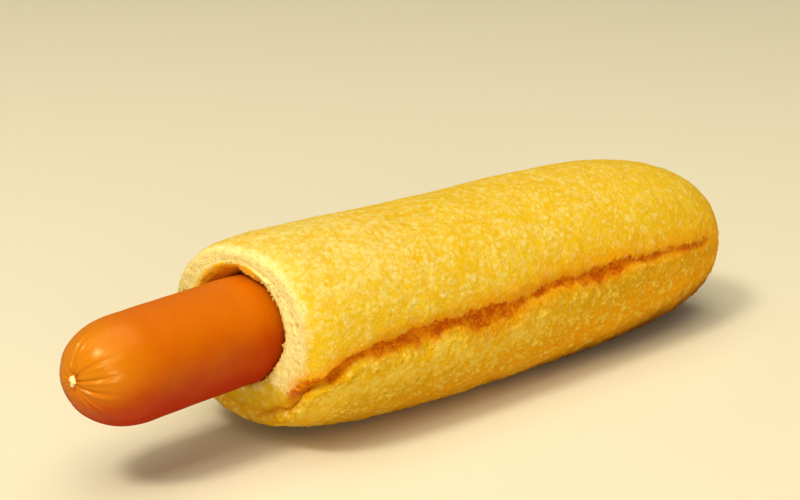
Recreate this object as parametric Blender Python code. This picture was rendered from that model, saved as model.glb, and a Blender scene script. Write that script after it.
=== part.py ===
"""A french hot dog: a long crusty roll with one end cut off, and a frankfurter pushed into its bore.

The roll lies along X with its cut end towards -X, and rests on its flattened underside at z = 0.
Each solid is a grid wrapped round X. One direction of the grid goes round the section, and the
other runs along a profile. The roll's profile goes from its closed end along the skin, over the
shoulder, across the cut face and down the blind bore, so the roll is one closed surface. A torn
seam runs along both sides of the roll and meets under the mouth.
"""

import math

import bmesh
import bpy
import numpy as np

MM = 0.001

# The roll.
ROLL_LENGTH = 160.5 * MM
ROLL_WIDTH = 56.0 * MM
ROLL_DEPTH = 46.6 * MM  # from crown to underside before the underside is pressed flat
PRESSED = 2.0 * MM  # how much of that depth the flat underside takes away
SECTION_POWER = 2.17  # 2 is an ellipse, more is squarer
WIDEST_SHARE = 0.524  # where the roll is widest, as a share of its length from the cut
CLOSED_POWER = 3.7  # how blunt the closed end is in plan
SHOULDER_POWER = 3.8  # how blunt the shoulder is at the cut end
FRONT_LIFT = 3.8 * MM  # how far the cut end curls up off the table
BACK_DROP = 0.9 * MM

# The cut face and the bore.
FACE_GIRTH = 0.69  # the flat face's size as a share of the widest section
FACE_DEPTH = 16.8 * MM  # half the face's height
FACE_CROWN = 0.5 * MM
MOUTH_HALF_WIDTH = 14.4 * MM
MOUTH_HALF_HEIGHT = 13.3 * MM
MOUTH_HEIGHT = 27.5 * MM
LIP_RADIUS = 1.3 * MM  # of the rounded edge of the mouth, at its sides and top
LIP_RADIUS_BELOW = 0.6 * MM
LIP_LIFT = (LIP_RADIUS - LIP_RADIUS_BELOW) / 2
LIP_SPREAD = (LIP_RADIUS + LIP_RADIUS_BELOW) / 2
BORE_CLEARANCE = 0.5 * MM
FLARE_LENGTH = 30.0 * MM
LEAN = 1.2 * MM  # how far the lower front is set back from the cut
LEAN_HEIGHTS = (17.0 * MM, 7.0 * MM)  # where it starts and where it is full
LEAN_REACH = 20.0 * MM

# The frankfurter.
SAUSAGE_DIAMETER = 24.0 * MM
SAUSAGE_REACH = 46.2 * MM  # how far it stands out of the roll
SAUSAGE_BURIED = 108.0 * MM
SAUSAGE_HEIGHT = 26.6 * MM  # its axis inside the roll
SAUSAGE_DROOP = 1.95 * MM
DROOP_POWER = 1.3
TIP_LENGTH = 17.0 * MM
TIP_POWER = 2.45
TIP_ROUND = 2.16
TIP_UPTURN = 1.5 * MM
KNOT_RADIUS = 1.2 * MM
KNOT_RISE = 0.6 * MM
PUCKER_COUNT = 9
PUCKER_DEPTH = 0.35 * MM
PUCKER_REACH = 9.0 * MM

# The torn seam: (distance behind the cut, height) along the side, then an ellipse under the mouth.
SEAM_SIDE = ((150, 23.6), (138, 24.0), (128, 25.1), (105, 26.0), (94, 25.6), (88, 25.8), (79, 26.5),
             (71, 26.0), (64, 24.6), (52, 23.7), (44, 24.8), (37, 25.2), (30, 24.6), (22, 24.6),
             (16, 24.2), (11, 23.8), (7, 22.6), (4, 20.6), (2, 18.4))
SEAM_UNDER_HALF_WIDTH = 20.8 * MM
SEAM_UNDER_DROP = 20.3 * MM
SEAM_UNDER_START = math.radians(-28)
SEAM_STEP = 0.5 * MM
SEAM_DEPTHS = ((0, 1.1), (12, 1.3), (30, 1.9), (55, 2.0), (90, 1.4), (120, 0.8), (138, 0.3), (150, 0.1))
SEAM_HALF_WIDTHS = ((0, 1.2), (6, 1.3), (12, 1.5), (30, 2.3), (55, 2.4), (90, 1.7), (120, 1.3), (138, 1.2))
LOBE_SWELLS = ((0, 0.35), (8, 0.4), (30, 0.8), (100, 0.5), (138, 0))

# The hand-shaped unevenness of the crust.
LUMP_SEED = 11
LUMP_COUNT = 14
LUMP_HEIGHT = 0.09 * MM
LUMP_LENGTHS = (16 * MM, 55 * MM)

# The grids.
ROLL_ROUND = 72
SKIN_ROWS = 42
SHOULDER_ROWS = 9
SHOULDER_RUN = 12.0 * MM
SAUSAGE_ROUND = 45
SIDE_CROWDING = 0.5  # how far the roll's columns gather at its sides, where the seam is
FINE = 600

# Derived places. X is centred on the whole, so the roll and the reach share the length.
WHOLE_LENGTH = ROLL_LENGTH + SAUSAGE_REACH
CLOSED_X = WHOLE_LENGTH / 2
CUT_X = CLOSED_X - ROLL_LENGTH
WIDEST_X = CUT_X + WIDEST_SHARE * ROLL_LENGTH
TIP_X = CUT_X - SAUSAGE_REACH
SAUSAGE_END_X = CUT_X + SAUSAGE_BURIED
SAUSAGE_RADIUS = SAUSAGE_DIAMETER / 2
BORE_RADIUS = SAUSAGE_RADIUS + BORE_CLEARANCE
MERGE = 0.000001

CRUST_COLOUR = (0.86, 0.53, 0.09, 1.0)
SAUSAGE_COLOUR = (0.72, 0.19, 0.01, 1.0)


class Profile:
    """Sections along X: each has a place, a centre height, half sizes and a superellipse power."""

    def __init__(self, x, height, half_width, half_height, power):
        columns = np.broadcast_arrays(x, height, half_width, half_height, power)
        self.table = np.stack([np.asarray(column, float).reshape(-1) for column in columns], axis=1)

    def joined(self, *others):
        whole = Profile(0, 0, 0, 0, 2)
        whole.table = np.concatenate([self.table] + [other.table for other in others])
        return whole

    def points(self, angles):
        """(row, column, xyz) at these angles, for all rows or for each, from +Y and upwards."""
        x, height, half_width, half_height, power = (column[:, None] for column in self.table.T)
        side = np.cos(angles)
        rise = np.sin(angles)
        y = half_width * np.sign(side) * np.abs(side) ** (2 / power)
        z = height + half_height * np.sign(rise) * np.abs(rise) ** (2 / power)
        return np.stack([np.broadcast_to(x, y.shape), y, z], axis=2)


def clear_scene():
    for obj in list(bpy.data.objects):
        bpy.data.objects.remove(obj, do_unlink=True)


def new_collection(name):
    collection = bpy.data.collections.new(name)
    bpy.context.scene.collection.children.link(collection)
    return collection


def new_material(name, colour, roughness):
    material = bpy.data.materials.new(name)
    material.use_nodes = True
    shader = material.node_tree.nodes["Principled BSDF"]
    shader.inputs["Base Color"].default_value = colour
    shader.inputs["Roughness"].default_value = roughness
    shader.inputs["Metallic"].default_value = 0.0
    material.diffuse_color = colour
    return material


def ease(share):
    """A smooth step from 0 to 1 as share goes from 0 to 1."""
    share = np.clip(share, 0, 1)
    return share * share * (3 - 2 * share)


def even_places(x, girth, rows):
    """Which fraction of the fine profile each row takes, so that rows are the same step apart."""
    steps = np.hypot(np.diff(x), np.diff(girth))
    run = np.concatenate([[0], np.cumsum(steps)])
    return np.interp(np.linspace(0, run[-1], rows), run, np.arange(len(run)))


def take(values, places):
    return np.interp(places, np.arange(len(values)), values)


def closed_half():
    """From the pole of the closed end to the widest section, as fine (x, girth) curves."""
    turn = np.linspace(math.pi / 2, 0, FINE)
    x = WIDEST_X + (CLOSED_X - WIDEST_X) * np.sin(turn) ** (2 / CLOSED_POWER)
    girth = np.clip(np.cos(turn), 0, 1) ** (2 / CLOSED_POWER)
    girth[0] = 0
    return x, girth


def cut_half():
    """From the widest section to the edge of the cut face, as fine (x, girth) curves."""
    turn = np.linspace(0, math.pi / 2, FINE)
    x = WIDEST_X + (CUT_X - WIDEST_X) * np.sin(turn) ** (2 / SHOULDER_POWER)
    share = np.clip(np.cos(turn), 0, 1) ** (2 / SHOULDER_POWER)
    return x, FACE_GIRTH + (1 - FACE_GIRTH) * share


def skin_sections(x, girth):
    """Sections of the skin: the girth scales the widest section, and the ends lift or drop."""
    to_cut = np.clip((WIDEST_X - x) / (WIDEST_X - CUT_X), 0, 1)
    to_back = np.clip((x - WIDEST_X) / (CLOSED_X - WIDEST_X), 0, 1)
    height = ROLL_DEPTH / 2 - PRESSED + FRONT_LIFT * to_cut**2 - BACK_DROP * to_back**2
    face_share = ease((1 - girth) / (1 - FACE_GIRTH)) * (to_cut > 0)
    face_stretch = FACE_DEPTH / (FACE_GIRTH * ROLL_DEPTH / 2)
    half_height = ROLL_DEPTH / 2 * girth * (1 + (face_stretch - 1) * face_share)
    return Profile(x, height, ROLL_WIDTH / 2 * girth, half_height, SECTION_POWER)


def skin_profile():
    """The skin from the closed end's pole to the cut face, with finer rows over the shoulder."""
    back_x, back_girth = closed_half()
    front_x, front_girth = cut_half()
    x = np.concatenate([back_x, front_x[1:]])
    girth = np.concatenate([back_girth, front_girth[1:]])
    reach = girth * ROLL_WIDTH / 2
    run_to_face = np.cumsum(np.hypot(np.diff(x), np.diff(reach))[::-1])[::-1]
    split = int(np.searchsorted(-run_to_face, -SHOULDER_RUN))
    skin = even_places(x[: split + 1], reach[: split + 1], SKIN_ROWS)
    shoulder = split + even_places(x[split:], reach[split:], SHOULDER_ROWS)
    places = np.concatenate([skin, shoulder[1:]])
    return skin_sections(take(x, places), take(girth, places))


def face_profile(edge):
    """The cut face: it narrows from the skin's last section to the rounded lip of the mouth."""
    share = np.array([0.2, 0.45, 0.7, 0.9])
    end = np.array([MOUTH_HEIGHT + LIP_LIFT, MOUTH_HALF_WIDTH + LIP_RADIUS, MOUTH_HALF_HEIGHT + LIP_SPREAD, 2])
    columns = edge[1:, None] + (end - edge[1:])[:, None] * share
    return Profile(CUT_X - FACE_CROWN * np.sin(math.pi / 2 * share), *columns)


def lip_profile():
    """The rounded edge of the mouth, a quarter turn from the face into the bore."""
    turn = np.radians([0, 30, 60, 90])
    x = CUT_X + LIP_RADIUS - (LIP_RADIUS + FACE_CROWN) * np.cos(turn)
    share = 1 - np.sin(turn)
    return Profile(x, MOUTH_HEIGHT + LIP_LIFT * share, MOUTH_HALF_WIDTH + LIP_RADIUS * share,
                   MOUTH_HALF_HEIGHT + LIP_SPREAD * share, 2)


def tip_curve():
    """The tip as fine (distance from the tip, radius) curves."""
    run = np.sin(np.linspace(math.pi / 2, 0, FINE))
    radius = SAUSAGE_RADIUS * (1 - run**TIP_POWER) ** (1 / TIP_ROUND)
    return TIP_LENGTH * (1 - run), radius


def bore_profile():
    """The bore: a flare that closes on the frankfurter, a straight run and a domed blind end."""
    depth = np.append([3, 7, 12, 18, 24, 30, 48, 68], (SAUSAGE_BURIED - TIP_LENGTH) / MM) * MM
    shut = ease(depth / FLARE_LENGTH)
    height = MOUTH_HEIGHT + (SAUSAGE_HEIGHT - MOUTH_HEIGHT) * shut
    half_width = MOUTH_HALF_WIDTH + (BORE_RADIUS - MOUTH_HALF_WIDTH) * shut
    half_height = MOUTH_HALF_HEIGHT + (BORE_RADIUS - MOUTH_HALF_HEIGHT) * shut
    straight = Profile(CUT_X + depth, height, half_width, half_height, 2)
    radius = SAUSAGE_RADIUS * np.array([0.97, 0.87, 0.7, 0.5, 0.25, 0])
    from_tip = np.interp(radius, *tip_curve()[::-1])
    stretch = (TIP_LENGTH + 2 * BORE_CLEARANCE) / TIP_LENGTH
    x = CUT_X + depth[-1] + (TIP_LENGTH - from_tip) * stretch
    bore_radius = radius * BORE_RADIUS / SAUSAGE_RADIUS
    return straight.joined(Profile(x, SAUSAGE_HEIGHT, bore_radius, bore_radius, 2))


def leaned(points):
    """The lower front is set back: x grows by how low a point is and how near the cut."""
    high, low = LEAN_HEIGHTS
    lower = ease((high - points[..., 2]) / (high - low))
    nearer = 1 - ease((points[..., 0] - CUT_X) / LEAN_REACH)
    return points + (lower * nearer)[..., None] * [LEAN, 0, 0]


def outward(points):
    """The unit normals of a grid that closes on itself round its columns."""
    round_step = np.roll(points, -1, axis=1) - np.roll(points, 1, axis=1)
    along_step = np.gradient(points, axis=0)
    normal = np.cross(round_step, along_step)
    length = np.linalg.norm(normal, axis=2, keepdims=True)
    normal = normal / np.maximum(length, 1e-12)
    middle = points.mean(axis=(0, 1))
    row = len(points) // 3
    inward = ((points[row] - middle) * [0, 1, 1] * normal[row]).sum() < 0
    return -normal if inward else normal


def lumps(points):
    """Low swells: plane waves of random direction, length and phase, added together."""
    draw = np.random.default_rng(LUMP_SEED)
    total = np.zeros(points.shape[:-1])
    for _ in range(LUMP_COUNT):
        direction = draw.normal(size=3)
        direction *= 2 * math.pi / np.linalg.norm(direction) / draw.uniform(*LUMP_LENGTHS)
        total += np.cos(points @ direction + draw.uniform(0, 2 * math.pi))
    return LUMP_HEIGHT * total / math.sqrt(LUMP_COUNT / 2)


def smoothed(line, reach=9):
    """A running mean along a line of points, with its ends kept."""
    padded = np.pad(line, ((reach, reach), (0, 0)), mode="edge")
    kernel = np.ones(2 * reach + 1) / (2 * reach + 1)
    return np.stack([np.convolve(column, kernel, mode="valid") for column in padded.T], axis=1)


def resampled(line, step):
    """The same line with points a fixed step apart."""
    run = np.concatenate([[0], np.cumsum(np.linalg.norm(np.diff(line, axis=0), axis=1))])
    wanted = np.arange(0, run[-1], step)
    return np.stack([np.interp(wanted, run, column) for column in line.T], axis=1)


def seam_angles(profile):
    """The section angle at which the seam crosses each row, level again at the mouth."""
    behind, height = np.array(SEAM_SIDE[::-1], float).T * MM
    x, centre, _, half_height, power = profile.table.T
    rise = (np.interp(x - CUT_X, behind, height) - centre) / np.maximum(half_height, MM)
    rise = np.clip(rise, -0.9, 0.9)
    angle = np.sign(rise) * np.arcsin(np.abs(rise) ** (power / 2))
    closing = ease((CLOSED_X - x) / (15 * MM))
    return smoothed(angle[:, None] * closing[:, None], 1)[:, 0]


def seam_line(skin):
    """The seam's points on the -Y side, from near the closed end to the middle under the mouth."""
    side = skin.points((math.pi - seam_angles(skin))[:, None])[:, 0]
    side = side[(side[:, 0] < CUT_X + SEAM_SIDE[0][0] * MM) & (side[:, 0] > CUT_X + 0.5 * MM)]
    angle = np.linspace(SEAM_UNDER_START, -math.pi / 2, 12)
    under_y = -SEAM_UNDER_HALF_WIDTH * np.cos(angle)
    under_z = MOUTH_HEIGHT + SEAM_UNDER_DROP * np.sin(angle)
    under = np.stack([np.full_like(angle, CUT_X), under_y, under_z], axis=1)
    return smoothed(resampled(np.concatenate([side, under]), SEAM_STEP))


def seam_relief(points, line):
    """How far the seam moves the skin outwards: a groove, with a swollen lobe under it."""
    folded = points.copy()
    folded[..., 1] = -np.abs(folded[..., 1])
    spread = np.linalg.norm(folded[..., None, :] - line, axis=-1)
    nearest = line[spread.argmin(axis=-1)]
    gap = spread.min(axis=-1)
    behind = (nearest[..., 0] - CUT_X) / MM
    depth = np.interp(behind, *np.array(SEAM_DEPTHS).T) * MM
    half_width = np.interp(behind, *np.array(SEAM_HALF_WIDTHS).T) * MM
    groove = depth * np.exp(-((gap / half_width) ** 2))
    from_mouth = np.hypot(folded[..., 1], folded[..., 2] - MOUTH_HEIGHT)
    line_from_mouth = np.hypot(nearest[..., 1], nearest[..., 2] - MOUTH_HEIGHT)
    under_mouth = (from_mouth > line_from_mouth) & (behind < 4)
    beneath = np.where(behind < 4, under_mouth, folded[..., 2] < nearest[..., 2])
    lobe = np.exp(-(((gap - 2.6 * half_width) / (1.5 * half_width)) ** 2))
    swell = np.interp(behind, *np.array(LOBE_SWELLS).T) * MM
    return swell * lobe * beneath - groove


def wrapped_grid(name, points, collection, material):
    """A grid primitive with each vertex moved to its place, then sewn along its seam and poles."""
    rows, columns = points.shape[:2]
    shape = bmesh.new()
    bmesh.ops.create_grid(shape, x_segments=rows - 1, y_segments=columns, size=1.0)
    for vertex in shape.verts:
        row = round((vertex.co.x + 1) / 2 * (rows - 1))
        column = round((vertex.co.y + 1) / 2 * columns) % columns
        vertex.co = points[row, column]
    bmesh.ops.remove_doubles(shape, verts=shape.verts, dist=MERGE)
    bmesh.ops.recalc_face_normals(shape, faces=shape.faces)
    mesh = bpy.data.meshes.new(name)
    shape.to_mesh(mesh)
    shape.free()
    mesh.shade_smooth()
    mesh.materials.append(material)
    obj = bpy.data.objects.new(name, mesh)
    collection.objects.link(obj)
    return obj


def make_roll(collection):
    turn = np.arange(ROLL_ROUND) / ROLL_ROUND * 2 * math.pi
    skin = skin_profile()
    face = face_profile(skin.table[-1])
    relief_rows = len(skin.table) + len(face.table)
    whole = skin.joined(face, lip_profile(), bore_profile())
    seam = seam_angles(skin)
    to_mouth = seam[-1] * (1 - ease(np.arange(1, len(whole.table) - len(seam) + 1) / 8))
    seam = np.concatenate([seam, to_mouth])[:, None]
    angles = turn - SIDE_CROWDING / 2 * np.sin(2 * turn) + seam * np.cos(turn)
    points = leaned(whole.points(angles))
    normals = outward(points)
    crust = points[1:relief_rows]
    move = lumps(crust) + seam_relief(crust, leaned(seam_line(skin)))
    points[1:relief_rows] += normals[1:relief_rows] * move[..., None]
    points[..., 2] = np.maximum(points[..., 2], 0)
    crust_material = new_material("crust", CRUST_COLOUR, 0.75)
    return wrapped_grid("bun", points, collection, crust_material)


def knot_offset(radius):
    """How far the skin stands forward near the pole: a knot in a shallow dimple."""
    knot = KNOT_RISE * (1 - ease(radius / KNOT_RADIUS))
    dimple = KNOT_RISE * np.exp(-(((radius - 1.5 * KNOT_RADIUS) / (0.6 * KNOT_RADIUS)) ** 2))
    return knot - 0.6 * dimple


def end_rows(radii):
    """(distance from the pole, radius) rows of one domed end, at the given radii."""
    distance, radius = tip_curve()
    return np.interp(radii, radius, distance) - knot_offset(radii)


def puckers(distance, radius, angles):
    """Folds that gather at the knot: they deepen from the knot and fade out up the dome."""
    draw = np.random.default_rng(5)
    phase = angles * PUCKER_COUNT + 0.8 * np.sin(angles * 2 + draw.uniform(0, 6))
    window = ease(radius / (2 * KNOT_RADIUS)) * (1 - ease(distance / PUCKER_REACH))
    return -PUCKER_DEPTH * window[:, None] * (0.5 + 0.5 * np.cos(phase)[None])


def sausage_axis(x):
    """The axis' height: level in the roll, drooping towards the tip, whose end turns up."""
    out = np.clip((CUT_X - x) / SAUSAGE_REACH, 0, 1)
    in_tip = np.clip((TIP_X + TIP_LENGTH - x) / TIP_LENGTH, 0, 1)
    return SAUSAGE_HEIGHT - SAUSAGE_DROOP * out**DROOP_POWER + TIP_UPTURN * in_tip**1.5


def make_sausage(collection):
    angles = np.arange(SAUSAGE_ROUND) / SAUSAGE_ROUND * 2 * math.pi
    radii = np.array([0, 0.6, 1.1, 1.6, 2.2, 3.2, 4.5, 6, 7.5, 8.9, 10.1, 11, 11.6, 12]) * MM
    ends = end_rows(radii)
    level = np.linspace(TIP_X + TIP_LENGTH, SAUSAGE_END_X - TIP_LENGTH, 18)[1:-1]
    x = np.concatenate([TIP_X + ends, level, SAUSAGE_END_X - ends[::-1]])
    radius = np.concatenate([radii, np.full(len(level), SAUSAGE_RADIUS), radii[::-1]])
    from_end = np.minimum(x - TIP_X, SAUSAGE_END_X - x)
    points = Profile(x, sausage_axis(x), radius, radius, 2).points(angles)
    folds = puckers(from_end, radius, angles)
    points[..., 1] += folds * np.cos(angles)
    points[..., 2] += folds * np.sin(angles)
    skin_material = new_material("sausage_skin", SAUSAGE_COLOUR, 0.4)
    return wrapped_grid("sausage", points, collection, skin_material)


def main():
    clear_scene()
    collection = new_collection("french_hot_dog")
    make_roll(collection)
    make_sausage(collection)


main()
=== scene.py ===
"""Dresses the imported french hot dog: a crusty roll with one end cut off, and a frankfurter in its bore.

The roll lies along X with its cut end towards -X. Its outside is one surface of two parameters. The
rows run from the closed end's pole along the skin, over the shoulder, across the cut face, round
the lip and down the bore, and the columns go round the section. The frankfurter is a surface of the
same kind. Small torn bits are set on the roll's surface along its seam and its lip.
"""

import functools
import itertools
import math

import bpy
import numpy as np
from bpy.props import FloatProperty, FloatVectorProperty, IntProperty, PointerProperty
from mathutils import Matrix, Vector


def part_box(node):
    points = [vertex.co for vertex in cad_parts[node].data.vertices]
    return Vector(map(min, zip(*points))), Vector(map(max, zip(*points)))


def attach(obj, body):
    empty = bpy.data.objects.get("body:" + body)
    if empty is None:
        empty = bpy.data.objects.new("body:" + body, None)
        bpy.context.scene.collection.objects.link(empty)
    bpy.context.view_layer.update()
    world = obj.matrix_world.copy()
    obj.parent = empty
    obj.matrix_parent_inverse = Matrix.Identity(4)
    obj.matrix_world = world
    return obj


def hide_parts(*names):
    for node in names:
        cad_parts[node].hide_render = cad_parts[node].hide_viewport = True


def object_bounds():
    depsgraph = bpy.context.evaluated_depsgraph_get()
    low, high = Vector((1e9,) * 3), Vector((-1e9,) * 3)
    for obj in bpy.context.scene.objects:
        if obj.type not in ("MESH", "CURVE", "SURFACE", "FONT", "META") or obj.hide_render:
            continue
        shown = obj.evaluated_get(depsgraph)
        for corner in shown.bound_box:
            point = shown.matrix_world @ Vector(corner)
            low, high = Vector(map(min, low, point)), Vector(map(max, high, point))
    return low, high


bl_info = {
    "name": "French Hot Dog",
    "version": (1, 0, 0),
    "blender": (4, 5, 0),
    "location": "View3D > Sidebar > Hot Dog",
    "description": "Builds the crust, crumb, torn seam and frankfurter of a french hot dog",
    "category": "Add Mesh",
}

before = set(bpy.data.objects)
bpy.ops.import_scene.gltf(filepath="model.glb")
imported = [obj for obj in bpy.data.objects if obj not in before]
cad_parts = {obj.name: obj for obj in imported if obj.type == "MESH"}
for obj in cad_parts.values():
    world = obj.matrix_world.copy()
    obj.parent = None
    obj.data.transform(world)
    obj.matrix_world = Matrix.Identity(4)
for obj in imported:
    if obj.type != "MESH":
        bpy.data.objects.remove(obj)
CAD_BOX = [list(corner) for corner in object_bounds()]
MM = 0.001

# The roll's outline, as shares and powers.
SECTION_POWER = 2.17  # 2 is an ellipse, more is squarer
WIDEST_SHARE = 0.524
CLOSED_POWER = 3.7
SHOULDER_POWER = 3.8
FRONT_LIFT = 3.8 * MM
BACK_DROP = 0.9 * MM
FACE_GIRTH = 0.69
FACE_DEPTH = 16.8 * MM
FACE_CROWN = 0.5 * MM
LIP_RADIUS = 1.3 * MM  # of the rounded edge of the mouth, at its sides and top
LIP_RADIUS_BELOW = 0.6 * MM
LIP_LIFT = (LIP_RADIUS - LIP_RADIUS_BELOW) / 2
LIP_SPREAD = (LIP_RADIUS + LIP_RADIUS_BELOW) / 2
BORE_CLEARANCE = 0.5 * MM
FLARE_LENGTH = 30.0 * MM  # over which the bore closes on the frankfurter
LEAN = 1.2 * MM  # how far the lower front is set back from the cut
LEAN_HEIGHTS = (17 * MM, 7 * MM)
LEAN_REACH = 20 * MM
SIDE_CROWDING = 0.5  # how far the columns gather at the roll's sides

# The frankfurter's outline.
SAUSAGE_DROOP = 1.95 * MM  # how far the axis sinks from the cut to the tip
DROOP_POWER = 1.3
TIP_LENGTH = 17.0 * MM
TIP_POWER = 2.45
TIP_ROUND = 2.16
TIP_UPTURN = 1.5 * MM
KNOT_RISE = 0.6 * MM  # how far the skin is drawn up under the knot
SKIN_SWELL = 0.05 * MM
TIP_PALER = 0.22  # how much less of the underside's painted shade the tip shows

# The torn seam: (distance behind the cut, height) along the side, then an ellipse under the mouth.
SEAM_SIDE = ((150, 23.6), (138, 24.0), (128, 25.1), (105, 26.0), (94, 25.6), (88, 25.8), (79, 26.5),
             (71, 26.0), (64, 24.6), (52, 23.7), (44, 24.8), (37, 25.2), (30, 24.6), (22, 24.6),
             (16, 24.2), (11, 23.8), (7, 22.6), (4, 20.6), (2, 18.4))
SEAM_UNDER_HALF_WIDTH = 20.8 * MM
SEAM_UNDER_DROP = 20.3 * MM
SEAM_UNDER_START = math.radians(-28)
SEAM_STEP = 0.5 * MM
SEAM_CLOSING = 15 * MM  # over which the rows leave the seam at the closed end
SEAM_TURN = 8  # how far behind the cut the way up the side turns towards the mouth, in mm
OTHER_SIDE = 400  # added to the place along the seam on the +Y side, in mm
# Along the seam: (distance behind the cut, value), in mm but for the shares of toasting and puffing.
SEAM_DEPTHS = ((0, 1.0), (12, 0.9), (30, 1.1), (55, 1.2), (90, 0.9), (120, 0.5), (138, 0.2), (150, 0.1))
SEAM_HALF_WIDTHS = ((0, 1.2), (6, 1.3), (12, 1.5), (30, 2.3), (55, 2.4), (90, 1.7), (120, 1.3), (138, 1.2))
LOBE_PLACE = (2.6, 1.5)  # the lobe's distance below the seam and its width, in half widths of the groove
LOBE_SWELLS = ((0, 0.35), (8, 0.4), (30, 0.8), (100, 0.5), (138, 0))
TORN_HALF_WIDTHS = ((0, 1.2), (4, 1.4), (10, 1.1), (14, 1.1), (18, 1.5), (30, 1.7), (38, 1.3), (44, 1.7),
                    (49, 2.9), (54, 2.5), (59, 1.5), (65, 1.1), (67.5, 0.3), (70, 0.9), (77, 1.1), (83, 1.2),
                    (84.5, 0.3), (87, 1.9), (101, 1.7), (105, 1.1), (125, 1.0), (150, 0.8))
TOASTING = ((0, 0.7), (0.3, 0.9), (1, 1), (103, 1), (107, 0.85), (138, 0.75), (151, 0))
HALO_ABOVE = ((0, 2.2), (36, 2.2), (56, 3.6), (105, 4.4), (125, 3.2), (150, 2.6))
HALO_BELOW = ((0, 1.0), (40, 1.4), (48, 3.2), (75, 3.4), (85, 2.0), (150, 2.0))
TOASTED_FROM = 12  # how far from the middle the fold under the mouth turns into the torn seam, in mm
PUFFY = ((0, 1), (60, 0.9), (85, 0.3), (100, 0))  # how pale the crust under the seam is
# The thin fold that goes on from the seam under the mouth.
CREASE_DEPTH = 0.8 * MM
CREASE_HALF_WIDTH = 0.45
CREASE_ENDS = ((0, 1), (3, 1), (9, 0))
FOLD_SUNK = 1.2  # how far below the torn band the fold starts, in mm
FOLD_SUNK_REACH = 16  # how far behind the cut the fold has risen to the torn band, in mm
FOLD_WAVERS = ((0.35, 2.3), (0.2, 0.9))  # heights and lengths of its wavering, in mm
CREASE_SIDES = ((-5, 1), (0, 0), (11, 0), (15, 1))  # how strong the thin fold is, by Y

# The texture of the crust, the crumb and the lip.
TEAR_SOFTNESS = (2.2, 1.1)  # how wide the torn band's lower and upper edges are, in mm
TEAR_FINE = (0.08, 0.25)  # how much those edges crumble, in mm
TEAR_WANDER = 0.45  # how far both edges wander, in mm
TEAR_DEPTH = 0.28 * MM
STAIN_AND_REFLECTION_REACH = 8  # how far down the bore the orange crumb is looked at, in mm; the orange is partly real staining, partly painted light reflected from the frankfurter
RIND_BLEND = 2.4  # how wide the change from crumb to crust is, in mm
# How far the crumb reaches over the cut's edge, in mm: at the sides, how much further over the top, how
# much less below and at the lowest point, and how much its border wavers.
RIND_BORDER = 2.3
RIND_OVER = 2.6
RIND_UNDER = 1.6
RIND_LOWEST = 5
RIND_WAVER = 0.7
PORE_SPACING, PORE_DEPTH = 0.75 * MM, 0.14 * MM
HOLE_SPACING, HOLE_DEPTH = 2.4 * MM, 0.45 * MM
PINHOLE_SPACING = 3.6 * MM
CRUMB_SWELL = 0.08 * MM  # height of the low swells of the crumb
TORN_EDGE = 0.08 * MM  # unevenness of the outer edge of the crumb
FADE_REACH = 1.8  # how far before the lip the swells and the seam fade out, in mm
LIP_RAGGED = 0.9 * MM
LIP_CHUNK, LIP_CHIP = 1.3 * MM, 0.6 * MM  # sizes of its larger and smaller bits
LIP_CLOSED_AT = math.radians(-58)
LIP_CLOSED_SPREAD = math.radians(38)
LIP_NEAR_AT = math.radians(74)
LIP_NEAR_SPREAD = math.radians(17)
LIP_CLOSED_GAP = 0.1 * MM
PRESSED_GRAIN = 0.05 * MM
COARSE_BELOW = 1.5  # how much coarser the crust is below the seam
UNDERSIDE_TINT_SLOPE = -0.14  # how fast the underside's oranger colouring climbs towards the closed end; partly real browning, partly painted warm reflected light

WARM_GLOSS = (1.0, 0.85, 0.1, 1.0)  # tint of the bread's gloss
SKIN_GLOSS = (1.0, 1.0, 0.45, 1.0)  # tint of the frankfurter's gloss
DOUGH_WAY = np.array([0.72, 0.694, 0.0])  # a unit vector, the way the dough was drawn
DOUGH_DRAW = 0.38  # how far places are cut down along that way

# The low swells of the whole roll: their draw, number, height, and shortest and longest waves.
LUMP_SEED = 11
LUMP_COUNT = 14
LUMP_HEIGHT = 0.09 * MM
LUMP_LENGTHS = (16 * MM, 55 * MM)

# How far apart rows are: (distance from the edge of the cut face, step), in mm.
ROLL_COLUMNS = 480
SKIN_STEPS = ((0, 0.2), (7, 0.25), (16, 0.46), (250, 0.46))
FACE_STEP = 0.2
LIP_ROWS = 9
BORE_STEPS = ((0, 0.2), (5, 0.3), (12, 0.7), (30, 1.5), (60, 5), (110, 8))
SAUSAGE_COLUMNS = 300
SAUSAGE_STEPS = ((0, 0.12), (4, 0.16), (12, 0.25), (50, 0.4), (70, 3), (160, 4))
FINE = 1200

# The knot of casing: half sizes along, across and out; the angle it is turned to; and its pit.
KNOT_SIZE = (1.35 * MM, 1.0 * MM, 0.75 * MM)
KNOT_TURN = 119
KNOT_SUNK = 0.15 * MM
KNOT_SHIFT = (-0.45 * MM, 0.25 * MM)
KNOT_PIT = (-0.35 * MM, -0.15 * MM)
KNOT_PIT_RADIUS, KNOT_PIT_DEPTH = 0.42 * MM, 0.45 * MM

# The torn bits: how many lie along the tear's edge, in it and on the lip, and their radii.
EDGE_CRUMBS = 160
TEAR_CRUMBS = 160
LIP_CRUMBS = 60
CRUMB_RADII = (0.10 * MM, 0.24 * MM)

LOOKED_AT = (-0.0060, 0.0, 0.0348)  # the point in the middle of the view
# The lights: name, direction, distance and size. The stage's sizes hold the powers.
LIGHTS = (("key", (-0.60, -0.04, 0.79), 1.8, 0.38), ("top", (-0.1, 0.0, 1.0), 2.2, 2.4),
          ("front", (-0.52, -0.42, 0.74), 2.0, 1.35), ("side", (-0.58, -0.8, 0.17), 2.2, 0.65))

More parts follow.
